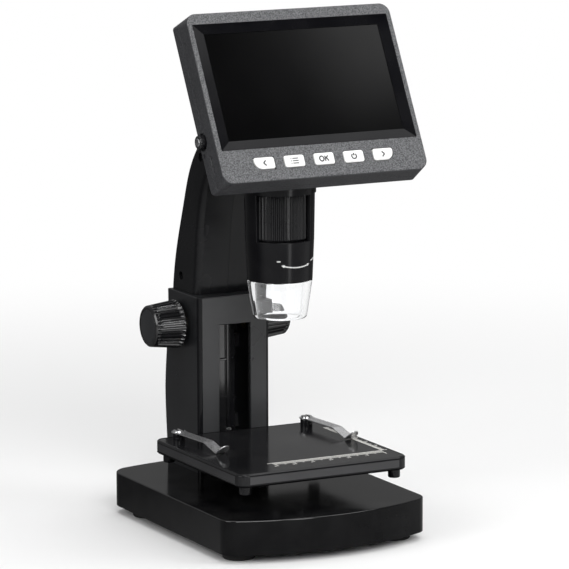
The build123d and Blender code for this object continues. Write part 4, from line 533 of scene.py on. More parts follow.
def grid_mesh(name, points, around=False, ring=False):
    """A mesh on a grid of points: each four neighbours make a face. `around` joins the last
    column to the first, `ring` the last row to the first; doubled points are merged."""
    rows, columns = points.shape[:2]
    place = np.arange(rows * columns).reshape(rows, columns)
    if around:
        place = np.concatenate([place, place[:, :1]], axis=1)
    if ring:
        place = np.concatenate([place, place[:1]], axis=0)
    corners = (place[:-1, :-1], place[:-1, 1:], place[1:, 1:], place[1:, :-1])
    faces = np.stack(corners, axis=-1).reshape(-1, 4)
    mesh = bpy.data.meshes.new(name)
    mesh.from_pydata(points.reshape(-1, 3).tolist(), [], faces.tolist())
    return mesh


def joined(name, meshes, finish, turn=SMOOTH_TURN):
    """One finished object from several closed meshes, with their faces turned outwards."""
    form = bmesh.new()
    for mesh in meshes:
        form.from_mesh(mesh)
        bpy.data.meshes.remove(mesh)
    bmesh.ops.remove_doubles(form, verts=form.verts, dist=1e-6)
    bmesh.ops.dissolve_degenerate(form, edges=form.edges, dist=1e-7)
    bmesh.ops.recalc_face_normals(form, faces=form.faces)
    whole = bpy.data.meshes.new(name)
    form.to_mesh(whole)
    form.free()
    piece = new_object(name, finished_mesh(whole, turn))
    piece.data.materials.append(finish)
    return piece


def dressed(node, meshes, finish, turn=SMOOTH_TURN):
    """Several closed meshes as one finished piece that takes the place of a CAD node."""
    return stands_for(joined(node + "_dressed", meshes, finish, turn), node)


def turned(name, centre, out, profile, steps=48, closed=False, shape=None):
    """A turned form: the profile's points (radius, height) are carried round the line through
    `centre` along `out`. `shape` may move the radius or height of each point by its turn."""
    profile = np.array(profile, dtype=float) * MM
    out = np.array(out, dtype=float)
    across = np.cross(out, (0.0, 0.0, 1.0) if abs(out[2]) < 0.9 else (1.0, 0.0, 0.0))
    across /= np.linalg.norm(across)
    other = np.cross(out, across)
    turn = np.linspace(0, 2 * np.pi, steps, endpoint=False)
    radius = np.repeat(profile[:, :1], steps, axis=1)
    height = np.repeat(profile[:, 1:], steps, axis=1)
    if shape:
        radius, height = shape(radius, height, turn[None, :])
    points = (
        np.array(centre)[None, None] * MM
        + radius[..., None] * np.cos(turn)[None, :, None] * across
        + radius[..., None] * np.sin(turn)[None, :, None] * other
        + height[..., None] * out
    )
    return grid_mesh(name, points, around=True, ring=closed)


# Small fasteners: pan heads with a pressed cross or a sawn slot, on plain shanks. The dome,
# the point and the cross are shares of the head's and the shank's own sizes.
DOME_FALL = 0.28
FLANK_SHARE = 0.35
POINT_SHARE = (0.6, 0.45)
CROSS_SHARE = 0.62
CROSS_WIDE = 0.17
CROSS_DEEP = 0.55
CROSS_BLUR = (0.35, 0.3)


def screw(name, under_head, out, head_r, head_high, shank_r, shank_long, slotted=False):
    """A screw as a turned form: a domed head whose height falls by a smooth step inside the
    cross (or the slot), a straight flank, and a shank down to a blunt point."""
    dome = [(head_r * s, head_high * (1 - DOME_FALL * s**4)) for s in np.linspace(0, 1, 15)]
    shank = [
        (head_r, head_high * FLANK_SHARE),
        (head_r, 0.0),
        (shank_r, 0.0),
        (shank_r, -shank_long + shank_r * POINT_SHARE[0]),
        (shank_r * POINT_SHARE[1], -shank_long),
        (0.0, -shank_long),
    ]

    def pressed(radius, height, turn):
        """The dome's height falls by the product of two ramps: across the arm, along it."""
        across, other = radius * np.cos(turn), radius * np.sin(turn)
        half = CROSS_WIDE * head_r * MM
        if slotted:
            arm, reach = np.abs(other), radius * 0
        else:
            arm, reach = np.minimum(np.abs(across), np.abs(other)), radius
        end = CROSS_SHARE * head_r * MM
        inside = np.clip((half - arm) / (CROSS_BLUR[0] * half) + 0.5, 0, 1)
        inside = inside * np.clip((end - reach) / (CROSS_BLUR[1] * half) + 0.5, 0, 1)
        top = height > head_high * MM * 0.5
        return radius, height - np.where(top, inside * CROSS_DEEP * head_high * MM, 0)

    return turned(name, under_head, out, dome + shank, 64, shape=pressed)


def screws(places, out, sizes, slotted=False):
    """Screws of one size, pointing one way, each with the seat of its head at a place."""
    return [screw("screw", place, out, *sizes, slotted) for place in places]


SIDES = (-1, 1)
COVER_SCREWS = [(side * 14.0, y, z) for side in SIDES for y, z in ((72.8, 40.0), (71.5, 82.0))]
FOOT_SCREWS = [(side * 46.5, y, 5.7) for side in SIDES for y in (-28.0, 26.0)]
STEM_SCREWS = [(side * 12.0, y, 18.8) for side in SIDES for y in (56.5, 65.0)]
cover_screws = screws(COVER_SCREWS, (0, 1, 0), (2.15, 1.15, 1.1, 5.9))
foot_screws = screws(FOOT_SCREWS, (0, 0, -1), (2.85, 1.45, 1.4, 8.5))
stem_screws = screws(STEM_SCREWS, (0, 0, -1), (2.95, 1.75, 1.5, 6.5))
dressed("cover_screws", cover_screws, screw_black)
dressed("base_screws", foot_screws, screw_steel)
dressed("column_screws", stem_screws, screw_steel)
cast_iron = metal_finish(
    "cast_iron", (0.10, 0.10, 0.10), (0.20, 0.19, 0.18), 0.55, scratch=900, bump=0.05
)
eased("base_weight", cast_iron, 0.4)

# ================================================================== stage carriage
# A glossy black table on a cast bracket that slides in the column's slot; short stubs hang
# under its corners, and the toothed rack with its two fins stands up inside the column.
stage_gloss = moulded_finish(
    "stage_gloss", (0.007, 0.007, 0.008), (0.012, 0.012, 0.013), 0.14, 2600, 25, 0.002, 0.2, 0.02
)
bracket_grey = moulded_finish(
    "bracket_grey", (0.015, 0.015, 0.016), (0.028, 0.028, 0.029), 0.5, 1300, 60, 0.02
)
rack_black = moulded_finish(
    "rack_black", (0.008, 0.008, 0.009), (0.014, 0.014, 0.015), 0.12, 2000, 60, 0.003, 0.9
)
# Painted light: a lighter copy of the table's black for its upright flanks, painted as lit sides.
stage_flank_lit = moulded_finish(
    "stage_flank_lit", (0.024, 0.024, 0.026), (0.034, 0.034, 0.036), 0.34, 2600, 25, 0.004
)
CLIP_PLACES = {"clip_left": (-36.1, 26.9), "clip_right": (36.1, 26.9)}
TABLE_SCREWS = [(x, y, 32.5) for x in (-7.0, 7.0) for y in (-22.0, 20.0)]
HOLE_CLEAR = 4.5
FLANK_FACES = 0.999


def table_rims(places):
    """The table's outline above and below: places further than HOLE_CLEAR from every hole."""
    holes = [(x, y) for x, y, _ in TABLE_SCREWS] + list(CLIP_PLACES.values())
    clear = [np.hypot(places[:, 0] - x, places[:, 1] - y) > HOLE_CLEAR for x, y in holes]
    return np.all(clear, axis=0)


table = eased("stage_plate", stage_gloss, 0.2, 2, first=((table_rims, 0.9, 5),))
# The upright flanks take the painted-light copy of the table's black.
refinish(table, stage_flank_lit, np.abs(of_faces(table, "normal")[:, :2]).max(axis=1) > FLANK_FACES)
eased("stage_bracket", bracket_grey, 0.3, 3)
eased("stage_rack", rack_black, 0.4, 3)

STUB_PLACES = [(x, y) for x in (-41.0, 41.0) for y in (-55.5, 28.0)]
STUB_PROFILE = (
    (0.0, 0.0), (3.0, 0.0), (3.0, -3.9), (2.85, -4.25), (2.5, -4.45), (1.7, -4.5), (1.5, -4.3),
    (1.5, -3.4), (0.0, -3.4),
)
stubs = [turned("stub", (x, y, 36.0), (0, 0, 1), STUB_PROFILE) for x, y in STUB_PLACES]
stub_black = moulded_finish(
    "stub_black", (0.004, 0.004, 0.005), (0.008, 0.008, 0.009), 0.15, bump=0.004, specular=0.22
)
dressed("stage_stubs", stubs, stub_black)
table_screws = screws(TABLE_SCREWS, (0, 0, -1), (2.45, 1.15, 1.3, 6.4))
rack_screw = screws([(0, 42.4, 40.5)], (0, 0, 1), (1.5, 1.55, 0.9, 6.6))
dressed("bracket_screws", table_screws, screw_steel)
dressed("rack_screw", rack_screw, screw_steel)

# The scale on the table: screen-printed ink, one edge line each way, millimetre marks and
# plain numbers for the centimetres. The marks at the side are shorter than those in front.
INK_HIGH = 0.05
TABLE_Z = 42.5
SCALE_FRONT = -43.6
SCALE_SIDE = 40.8
SCALE_START = 1.0
SCALE_LONG = 60
SCALE_LEFT = -22.6
SCALE_BACK = 18.0
INK_LINE = 0.6
MARK_LINE = 0.5
MARK_LONG = (3.6, 4.8, 6.6)
SIDE_REACH = 0.42
FIGURE_SIZE = 2.3
FRONT_FIGURES = (1.4, -50.0)
SIDE_FIGURES = (44.4, 1.8)


def printed(name, boxes):
    """Printed marks as thin slabs: each box is (low x, low y, high x, high y) on the table."""
    low_x, low_y, high_x, high_y = np.array(boxes).T
    base = np.full_like(low_x, TABLE_Z)
    top = base + INK_HIGH
    corners = np.stack(
        [
            np.stack([x, y, z], axis=-1)
            for z in (base, top)
            for x, y in ((low_x, low_y), (high_x, low_y), (high_x, high_y), (low_x, high_y))
        ],
        axis=1,
    )
    sides = np.array(
        [(3, 2, 1, 0), (4, 5, 6, 7), (0, 1, 5, 4), (1, 2, 6, 5), (2, 3, 7, 6), (3, 0, 4, 7)]
    )
    faces = (np.arange(len(boxes)) * 8)[:, None, None] + sides[None]
    mesh = bpy.data.meshes.new(name)
    mesh.from_pydata(
        (corners.reshape(-1, 3) * MM).tolist(), [], faces.reshape(-1, 4).tolist()
    )
    return mesh


def mark_reach(number):
    """Length of a scale mark: long each centimetre, middling each half, else short."""
    return MARK_LONG[int(number % 5 == 0) + int(number % 10 == 0)]


scale_boxes = [
    (SCALE_LEFT, SCALE_FRONT, SCALE_SIDE + INK_LINE, SCALE_FRONT + INK_LINE),
    (SCALE_SIDE, SCALE_FRONT, SCALE_SIDE + INK_LINE, SCALE_BACK),
]
for number in range(SCALE_LONG + 1):
    half = MARK_LINE / 2
    reach = mark_reach(number)
    middle = SCALE_SIDE - SCALE_START - number
    scale_boxes.append((middle - half, SCALE_FRONT - reach, middle + half, SCALE_FRONT))
    level = SCALE_FRONT + SCALE_START + number
    start = SCALE_SIDE + INK_LINE
    scale_boxes.append((start, level - half, start + reach * SIDE_REACH, level + half))


def points_of(mesh):
    """The mesh's points as an array of rows, in metres."""
    points = np.empty(len(mesh.vertices) * 3)
    mesh.vertices.foreach_get("co", points)
    return points.reshape(-1, 3)


def figure(number, place, turn=0.0):
    """A plain printed figure: a text made a mesh, turned in its plane and set on the table."""
    text = bpy.data.curves.new("figure", "FONT")
    text.body = str(number)
    text.size = FIGURE_SIZE * MM
    text.align_x = "CENTER"
    text.align_y = "CENTER"
    text.extrude = INK_HIGH * MM / 2
    text.resolution_u = 3
    holder = new_object("figure_text", text)
    bpy.context.view_layer.update()
    mesh = bpy.data.meshes.new_from_object(
        holder.evaluated_get(bpy.context.evaluated_depsgraph_get())
    )
    bpy.data.objects.remove(holder)
    points = points_of(mesh)
    cos, sin = math.cos(turn), math.sin(turn)
    x = points[:, 0] * cos - points[:, 1] * sin
    y = points[:, 0] * sin + points[:, 1] * cos
    points = np.stack([x, y, points[:, 2] + INK_HIGH * MM / 2], axis=1)
    points += np.array((*place, TABLE_Z)) * MM
    mesh.vertices.foreach_set("co", points.ravel())
    return mesh


counts = range(1, SCALE_LONG // 10 + 1)
first_x = SCALE_SIDE - SCALE_START - FRONT_FIGURES[0]
first_y = SCALE_FRONT + SCALE_START + SIDE_FIGURES[1]
figures = [figure(count, (first_x - 10 * count, FRONT_FIGURES[1])) for count in counts]
figures += [
    figure(count, (SIDE_FIGURES[0], first_y + 10 * count), math.pi / 2) for count in counts
]
print_white = moulded_finish(
    "print_white", (0.60, 0.59, 0.56), (0.80, 0.79, 0.76), 0.6, 1800, 300, 0.002, speckle=True
)
scale = joined("table_scale", [printed("marks", scale_boxes)] + figures, print_white)
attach(scale, BODY_OF["stage_plate"])

# ================================================================== stage clips
# Each clip is a strip of polished spring steel that turns on a black post under a slotted
# screw; it bends down to the table and curls up again at its tip.
CLIP_TURN = math.radians(5.0)
CLIP_TOUCH = 39.5
CLIP_CURL = 0.045
clip_steel = metal_finish(
    "clip_steel", (0.78, 0.78, 0.79), (0.96, 0.96, 0.97), 0.32, (8, 1, 8), 500, 0.0015
)
for node, (post_x, post_y) in CLIP_PLACES.items():
    clip = eased(node, clip_steel, 0.1)
    points = points_of(clip.data)
    # Past the touching bend the strip curls up with the square of the way run.
    way = (points[:, 0] / MM - post_x) * math.sin(CLIP_TURN) - (
        points[:, 1] / MM - post_y
    ) * math.cos(CLIP_TURN)
    points[:, 2] += CLIP_CURL * np.clip(way - CLIP_TOUCH, 0, None) ** 2 * MM
    clip.data.vertices.foreach_set("co", points.ravel())
    clip.data.update()

POST_PROFILE = ((0.0, 0.0), (3.1, 0.0), (3.1, 3.3), (2.95, 3.6), (2.7, 3.7), (0.0, 3.7))
posts = [turned("post", (x, y, TABLE_Z), (0, 0, 1), POST_PROFILE) for x, y in CLIP_PLACES.values()]
dressed("clip_posts", posts, stub_black)
clip_seats = [(x, y, 46.8) for x, y in CLIP_PLACES.values()]
clip_screws = screws(clip_seats, (0, 0, 1), (2.7, 0.98, 1.4, 7.2), slotted=True)
bright_steel = metal_finish(
    "bright_steel", (0.62, 0.62, 0.63), (0.88, 0.88, 0.88), 0.12, (1, 1, 1), 700, 0.001
)
dressed("clip_screws", clip_screws, bright_steel)

# ================================================================== height drive
# Two fluted black knobs with flat grey caps are pressed on a steel shaft; a small brass
# pinion between the bushes drives the rack, and thin washers keep the knobs off the walls.
SHAFT_AT = (0.0, 57.4, 95.3)
KNOB_IN = 21.7
KNOB_OUT = 38.2
KNOB_BIG = 12.3
KNOB_SMALL = 10.5
KNOB_BORE = (2.52, 36.02)
FLUTES = 32
FLUTE_DEEP = 0.8
FLUTE_SHARP = 1.6
FLUTE_OUTSIDE = 9.3
FLUTE_FADES = ((0.7, 0.5), (1.5, 0.9))


def soft_step(share):
    """A share kept between none and all, with a soft start and a soft end."""
    share = np.clip(share, 0, 1)
    return share * share * (3 - 2 * share)


def fluted(radius, height, turn):
    """Flutes between the plain ends: the radius falls by a smooth square wave of the turn,
    faded in over the first and out over the last millimetre of the taper."""
    groove = soft_step(0.5 - FLUTE_SHARP * np.cos(FLUTES * turn))
    along = np.abs(height) / MM
    (from_in, rise), (from_out, fall) = FLUTE_FADES
    fade = np.clip((along - KNOB_IN - from_in) / rise, 0, 1)
    fade = fade * np.clip((KNOB_OUT - from_out - along) / fall, 0, 1)
    outside = radius > FLUTE_OUTSIDE * MM
    return radius - np.where(outside, groove * fade * FLUTE_DEEP * MM, 0), height


taper = np.linspace(0, 1, 14)
knob_profile = [
    (0.0, KNOB_BORE[1]), KNOB_BORE, (KNOB_BORE[0], KNOB_IN), (10.8, KNOB_IN),
    (11.3, KNOB_IN + 0.15), (11.5, KNOB_IN + 0.5),
    *[
        (KNOB_BIG + (KNOB_SMALL - KNOB_BIG) * s, KNOB_IN + 0.8 + (KNOB_OUT - KNOB_IN - 1.6) * s)
        for s in taper
    ],
    (10.1, KNOB_OUT - 0.45), (9.85, KNOB_OUT - 0.1), (9.6, KNOB_OUT), (8.7, KNOB_OUT),
    (8.45, KNOB_OUT - 0.12), (8.42, KNOB_OUT - 0.8), (0.0, KNOB_OUT - 0.8),
]
knob_gloss = moulded_finish(
    "knob_gloss", (0.006, 0.006, 0.007), (0.011, 0.011, 0.012), 0.17, 2400, 60, 0.003, 0.75, 0.015
)
cap_grey = moulded_finish(
    "cap_grey", (0.020, 0.021, 0.023), (0.030, 0.031, 0.033), 0.42, 2600, 40, 0.006
)
for node, side in (("knob_left", -1), ("knob_right", 1)):
    body = turned("knob", SHAFT_AT, (side, 0, 0), knob_profile, FLUTES * 8, shape=fluted)
    dressed(node, [body], knob_gloss)
CAP_PROFILE = (
    (0.0, 37.42), (8.38, 37.42), (8.38, 37.95), (8.3, 38.1), (8.1, 38.16), (7.4, 38.12),
    (0.0, 38.08),
)
caps = [turned("cap", SHAFT_AT, (side, 0, 0), CAP_PROFILE, 96) for side in SIDES]
dressed("knob_caps", caps, cap_grey)
shaft_steel = metal_finish(
    "shaft_steel", (0.50, 0.50, 0.51), (0.72, 0.72, 0.72), 0.2, (6, 1, 1), 400
)
eased("pinion_shaft", shaft_steel)
eased("drive_pinion", turned_brass, 0.06)
washer_white = moulded_finish("washer_white", (0.55, 0.55, 0.53), (0.65, 0.65, 0.63), 0.5)
eased("drag_washer", washer_white, 0.08)

# ================================================================== arm and head
# Two satin black shells meet on the middle plane and are drawn together by three screws from
# the left; their foot drops into the column's deck and their head holds barrel and hinge.
arm_satin = moulded_finish(
    "arm_satin", (0.006, 0.0062, 0.007), (0.009, 0.0092, 0.0102), 0.24, 2400, 30, 0.003, 0.2, 0.01
)
eased("arm_left_shell", arm_satin, 0.15, clamp=False)
eased("arm_right_shell", arm_satin, 0.15, clamp=False)
ARM_SCREWS = ((-14.6, 61.0, 119.0), (-14.6, 38.0, 182.4), (-14.6, 14.0, 192.5))
arm_screws = screws(ARM_SCREWS, (-1, 0, 0), (2.15, 1.45, 1.0, 21.5))
dressed("arm_screws", arm_screws, screw_black)

# ================================================================== optical barrel
# A glossy black cowl hangs from the head, with two windows onto the ribbed focus ring; a clear
# acrylic nose below it spreads the light of eight lamps that sit round the lens.
BARREL_AT = (0.0, -13.5, 0.0)
cowl_gloss = moulded_finish(
    "cowl_gloss", (0.004, 0.004, 0.005), (0.007, 0.007, 0.008), 0.19, 2600, 60, 0.002, 0.12
)
COWL_CONE = ((16.15, 127.5), (17.0, 147.7))
COWL_WALL = (
    (13.87, 127.52), (15.95, 127.52), (16.09, 127.57), (16.16, 127.72), (16.95, 146.8),
    (17.0, 147.75), (17.4, 170.7), (17.85, 170.7), (17.96, 170.75), (18.0, 170.86),
    (18.0, 176.98), (16.6, 177.0), (16.6, 190.0), (15.0, 190.0), (15.0, 170.7), (15.0, 147.75),
    (13.87, 147.7), (13.87, 132.7), (12.9, 132.7), (12.9, 130.72), (13.87, 130.72),
)
OUTER_LOW, OUTER_HIGH, INNER_HIGH, INNER_LOW = 5, 6, 14, 15
WINDOW_EDGES = (-159.0, -56.0, 21.0, 124.0, 201.0)
WINDOW_STEPS = (48, 34, 48, 34)
WINDOW_ROUND = 0.25
WINDOW_TURN = math.radians(50)


def windowed_wall(name, finish):
    """The cowl: its closed wall profile is turned round the barrel's axis on a grid whose
    columns fall on the window edges. The faces between two levels are left out over the two
    windows, and the outer and inner grids are joined there by the windows' four reveals."""
    edges = zip(WINDOW_EDGES, WINDOW_EDGES[1:], WINDOW_STEPS)
    turn = np.radians(
        np.concatenate([np.linspace(a, b, n, endpoint=False) for a, b, n in edges])
    )
    firsts = np.cumsum((0,) + WINDOW_STEPS)
    column = np.arange(len(turn))
    open_here = (column < firsts[1]) | ((column >= firsts[2]) & (column < firsts[3]))
    wall = np.array(COWL_WALL)
    radius, level = np.broadcast_arrays(wall[:, :1], wall[:, 1:])
    points = np.stack(
        [
            BARREL_AT[0] + radius * np.cos(turn),
            BARREL_AT[1] + radius * np.sin(turn),
            level + 0 * turn,
        ],
        axis=-1,
    )
    place = np.arange(points.shape[0] * len(turn)).reshape(points.shape[:2])
    beside = np.roll(place, -1, axis=1)
    above = np.roll(place, -1, axis=0)
    over = np.roll(above, -1, axis=1)
    faces = np.stack([place, beside, over, above], axis=-1)
    kept = np.ones(place.shape, dtype=bool)
    kept[OUTER_LOW, open_here] = False
    kept[INNER_HIGH, open_here] = False
    parts = [faces[kept]]
    for outer, inner in ((OUTER_LOW, INNER_LOW), (OUTER_HIGH, INNER_HIGH)):
        reveal = [place[outer], beside[outer], beside[inner], place[inner]]
        parts.append(np.stack(reveal, axis=-1)[open_here])
    sides = [place[row, firsts[:4]] for row in (OUTER_LOW, OUTER_HIGH, INNER_HIGH, INNER_LOW)]
    parts.append(np.stack(sides, axis=-1))
    mesh = bpy.data.meshes.new(name)
    mesh.from_pydata((points.reshape(-1, 3) * MM).tolist(), [], np.concatenate(parts).tolist())
    piece = joined(name, [mesh], finish)
    bevel = piece.modifiers.new("round", "BEVEL")
    bevel.width = WINDOW_ROUND * MM
    bevel.segments = 3
    bevel.limit_method = "ANGLE"
    bevel.angle_limit = WINDOW_TURN
    evenly_shaded(piece)
    return piece


stands_for(windowed_wall("barrel_cowl_dressed", cowl_gloss), "barrel_cowl")

NOSE_PROFILE = (
    (12.1, 108.55), (12.35, 108.5), (12.75, 108.58), (13.1, 108.85), (13.3, 109.3),
    (13.45, 110.0), (14.9, 119.3), (16.0, 126.6), (16.12, 127.3), (16.05, 127.48),
    (13.85, 127.5), (13.85, 129.45), (12.7, 129.5), (12.6, 127.4), (12.35, 122.0),
    (11.7, 115.0), (11.15, 110.6), (10.95, 109.2), (11.1, 108.75), (11.5, 108.55),
)
NOSE_TURN = math.radians(50)


def clear_finish(name, colour, bend, grain, mottle, spread, haze):
    """Glass or clear plastic that bends light by its index; the mottle gives a faint haze."""
    material, nodes, links, shader = new_material(name)
    set_up(shader, Base_Color=(*colour, 1), Transmission_Weight=1.0, IOR=bend)
    texture = add_node(
        nodes, "Group", node_tree=moulded_grain, Scale=grain, Mottle_Scale=mottle
    )
    veil = map_range(nodes, spread, (0.0, haze))
    connect(links, (texture, "Mottle", veil, "Value"), (veil, "Result", shader, "Roughness"))
    return material


clear_acrylic = clear_finish(
    "clear_acrylic", (0.985, 0.99, 0.995), 1.49, 60.0, 35.0, (0.35, 0.75), 0.03
)
nose = turned("nose", BARREL_AT, (0, 0, 1), NOSE_PROFILE, 128, closed=True)
dressed("clear_nose", [nose], clear_acrylic, NOSE_TURN)

# The focus ring: ribs and grooves round a short tube.
RIBS = 48
RIB_DEEP = 0.55
RIB_SHARP = 1.4
RIB_OUTSIDE = 14.3
RIB_END = (11.4, 0.6)
RING_MIDDLE = 159.2
RING_PROFILE = (
    (12.5, 148.0), (14.0, 148.0), (14.35, 148.1), (14.6, 148.35), (14.68, 148.8),
    (14.68, 152.0), (14.68, RING_MIDDLE), (14.68, 166.4), (14.68, 169.6), (14.6, 170.05),
    (14.35, 170.3), (14.0, 170.4), (12.5, 170.4),
)


def ribbed(radius, height, turn):
    """Ribs: the radius falls by a soft square wave of the turn, save near the two ends."""
    groove = soft_step(0.5 + RIB_SHARP * np.cos(RIBS * turn))
    from_middle = np.abs(height / MM - RING_MIDDLE)
    middle = np.clip((RIB_END[0] - from_middle) / RIB_END[1], 0, 1)
    outside = radius > RIB_OUTSIDE * MM
    return radius - np.where(outside, groove * middle * RIB_DEEP * MM, 0), height


ring = turned("ring", BARREL_AT, (0, 0, 1), RING_PROFILE, RIBS * 8, closed=True, shape=ribbed)
ring_black = moulded_finish(
    "ring_black", (0.006, 0.006, 0.007), (0.010, 0.010, 0.011), 0.2, specular=0.25
)
dressed("focus_ring", [ring], ring_black)

# Inside the barrel: board and lamps, lens carrier with its lenses, sleeve and sensor board.
board_white = moulded_finish("board_white", (0.55, 0.56, 0.55), (0.72, 0.72, 0.70), 0.4)
eased("led_board", board_white, 0.08)
LAMP_CIRCLE = 10.4
LAMP_COUNT = 8
LAMP_TOP = 129.5
LAMP_PROFILE = (
    (0.0, -0.05), (1.45, -0.05), (1.5, -0.2), (1.5, -1.0), (1.35, -1.5), (1.0, -1.85),
    (0.5, -1.98), (0.0, -2.0),
)
lamps = []
for step in range(LAMP_COUNT):
    turn = step * 2 * math.pi / LAMP_COUNT
    across, back = LAMP_CIRCLE * math.cos(turn), LAMP_CIRCLE * math.sin(turn)
    place = (BARREL_AT[0] + across, BARREL_AT[1] + back, LAMP_TOP)
    lamps.append(turned("lamp", place, (0, 0, 1), LAMP_PROFILE, 24))
lamp_yellow = moulded_finish("lamp_yellow", (0.80, 0.74, 0.42), (0.90, 0.86, 0.60), 0.15)
dressed("leds", lamps, lamp_yellow)
carrier_black = moulded_finish("carrier_black", (0.01, 0.01, 0.01), (0.02, 0.02, 0.02), 0.45)
eased("lens_carrier", carrier_black)
eased("barrel_sleeve", carrier_black)
lens_glass = clear_finish("lens_glass", (0.93, 0.96, 1.0), 1.52, 200.0, 80.0, (0.0, 1.0), 0.02)
eased("objective_lenses", lens_glass, 0.05)
board_green = moulded_finish(
    "board_green", (0.004, 0.045, 0.016), (0.010, 0.095, 0.034), 0.32, 900, 500, 0.01
)
eased("sensor_board", board_green, 0.06)

# The turning marks on the cowl: a white bow with a point at each end, and two dashes.
MARK_RADIUS = 16.5
MARK_LOW = -0.10
MARK_HIGH = 0.07
PAINT_LINE = 0.6
BOW_TURNS = (-24.6, 31.9)
BOW_LEVELS = ((0, 0.474, 1), (136.6, 135.35, 136.35))
BOW_LONG = 16.3
BOW_STEPS = 49
DASH_STEPS = 9
POINT_LONG = 1.5
POINT_WIDE = 0.15
DASHES = (((-32.5, 138.6), (-25.9, 138.6)), ((38.0, 137.7), (52.0, 138.4)))


def on_cowl(across, level, proud):
    """A point of the cowl's cone from the way round it (millimetres at the marks' level),
    the level, and how far it stands proud; returned in metres."""
    (low_radius, low), (high_radius, high) = COWL_CONE
    radius = low_radius + (level - low) / (high - low) * (high_radius - low_radius) + proud
    turn = across / MARK_RADIUS
    x, y = BARREL_AT[0] + radius * np.sin(turn), BARREL_AT[1] - radius * np.cos(turn)
    return np.stack([x, y, level], axis=-1) * MM


def stroke(name, path, widths, place, low, high):
    """A painted line: a slab of changing width carried along a path on a surface. Its cross
    section has four corners, and both ends close to a point."""
    path = np.asarray(path, dtype=float)
    widths = np.broadcast_to(np.asarray(widths, dtype=float), len(path))
    ahead = np.gradient(path, axis=0)
    ahead /= np.linalg.norm(ahead, axis=1)[:, None]
    aside = np.stack([-ahead[:, 1], ahead[:, 0]], axis=1) * widths[:, None] / 2
    left, right = path + aside, path - aside
    corners = [
        place(left[:, 0], left[:, 1], low),
        place(left[:, 0], left[:, 1], high),
        place(right[:, 0], right[:, 1], high),
        place(right[:, 0], right[:, 1], low),
    ]
    rows = np.stack(corners, axis=1)
    ends = [
        np.repeat(place(path[end, :1], path[end, 1:], (low + high) / 2)[:, None], 4, axis=1)
        for end in (0, -1)
    ]
    return grid_mesh(name, np.concatenate([ends[0], rows, ends[1]]), around=True)


bow_way = np.linspace(0, 1, BOW_STEPS)
bow_across = np.radians(np.linspace(*BOW_TURNS, BOW_STEPS)) * MARK_RADIUS
bow_level = np.polyval(np.polyfit(*BOW_LEVELS, 2), bow_way)
from_tip = np.minimum(bow_way, 1 - bow_way) * BOW_LONG
bow_width = np.where(from_tip < POINT_LONG, POINT_WIDE + from_tip, PAINT_LINE)
lines = [("bow", bow_across, bow_level, bow_width)]
for (start, start_level), (end, end_level) in DASHES:
    across = np.radians(np.linspace(start, end, DASH_STEPS)) * MARK_RADIUS
    level = np.linspace(start_level, end_level, DASH_STEPS)
    lines.append(("dash", across, level, PAINT_LINE))
marks = [
    stroke(name, np.stack([across, level], 1), width, on_cowl, MARK_LOW, MARK_HIGH)
    for name, across, level, width in lines
]
paint_white = moulded_finish(
    "paint_white", (0.74, 0.74, 0.73), (0.84, 0.84, 0.83), 0.5, 1500, 200, 0.003
)
turning_marks = joined("cowl_marks", marks, paint_white)
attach(turning_marks, BODY_OF["barrel_cowl"])

# ================================================================== monitor
# The case is two moulded halves screwed together from the back. Its front face has a sparked,
# speckled grey grain; the flanks have the same grain painted darker and plainer, as painted
# shade for faces turned from the light. A glossy frame slopes to the glass.
SCREEN_MIDDLE = np.array((0.0, -39.87, 227.58))
SCREEN_TILT = math.radians(28.34)
SCREEN_UP = np.array((0.0, math.sin(SCREEN_TILT), math.cos(SCREEN_TILT)))
SCREEN_OUT = np.array((0.0, -math.cos(SCREEN_TILT), math.sin(SCREEN_TILT)))


def on_screen(across, up, out):
    """A point from its place across and up the screen and out of the glass, in metres."""
    across, up, out = np.broadcast_arrays(
        *(np.asarray(value, dtype=float) for value in (across, up, out))
    )
    side = np.stack([across, np.zeros_like(across), np.zeros_like(across)], axis=-1)
    return (SCREEN_MIDDLE + side + up[..., None] * SCREEN_UP + out[..., None] * SCREEN_OUT) * MM


case_front = moulded_finish(
    "case_front", (0.038, 0.039, 0.042), (0.155, 0.157, 0.163), 0.55, 1500, 40, 0.05, speckle=True
)
# Painted shade: a darker, plainer copy of the front's grain for the flanks and the rear cover.
case_flank_shaded = moulded_finish(
    "case_flank_shaded", (0.020, 0.0205, 0.023), (0.060, 0.061, 0.066), 0.46, 1500, 40, 0.03, speckle=True
)
CASE_HALF = 55.5
CASE_LOW, CASE_HIGH = -49.1, 38.1
SEAM_ROUND = 3.4
SEAM_OUT = -9.0
NEAR_OUTLINE = 0.06
NEAR_SEAM = 0.05
FACE_FROM = 0.8


def near_outline(places, corner):
    """Which places lie on the case's outline, a rectangle with round corners of that radius."""
    across = places[:, 0]
    up = (places - SCREEN_MIDDLE) @ SCREEN_UP
    beside = np.abs(across) - (CASE_HALF - corner)
    beyond = np.abs(up - (CASE_LOW + CASE_HIGH) / 2) - ((CASE_HIGH - CASE_LOW) / 2 - corner)
    reach = np.hypot(np.maximum(beside, 0), np.maximum(beyond, 0))
    return np.abs(reach + np.minimum(np.maximum(beside, beyond), 0) - corner) < NEAR_OUTLINE


def seam_rim(places):
    """The edge where the two halves of the case meet."""
    out = (places - SCREEN_MIDDLE) @ SCREEN_OUT
    return near_outline(places, SEAM_ROUND) & (np.abs(out - SEAM_OUT) < NEAR_SEAM)


bezel = eased("bezel_front", case_front, 0.3, 3, first=((seam_rim, 0.45, 2),))
# Faces that do not look out of the screen take the painted-shade copy.
refinish(bezel, case_flank_shaded, of_faces(bezel, "normal") @ SCREEN_OUT < FACE_FROM)
# The rear cover is wholly in the painted-shade copy.
eased("rear_cover", case_flank_shaded, 0.3, 3, first=((seam_rim, 0.45, 2),))

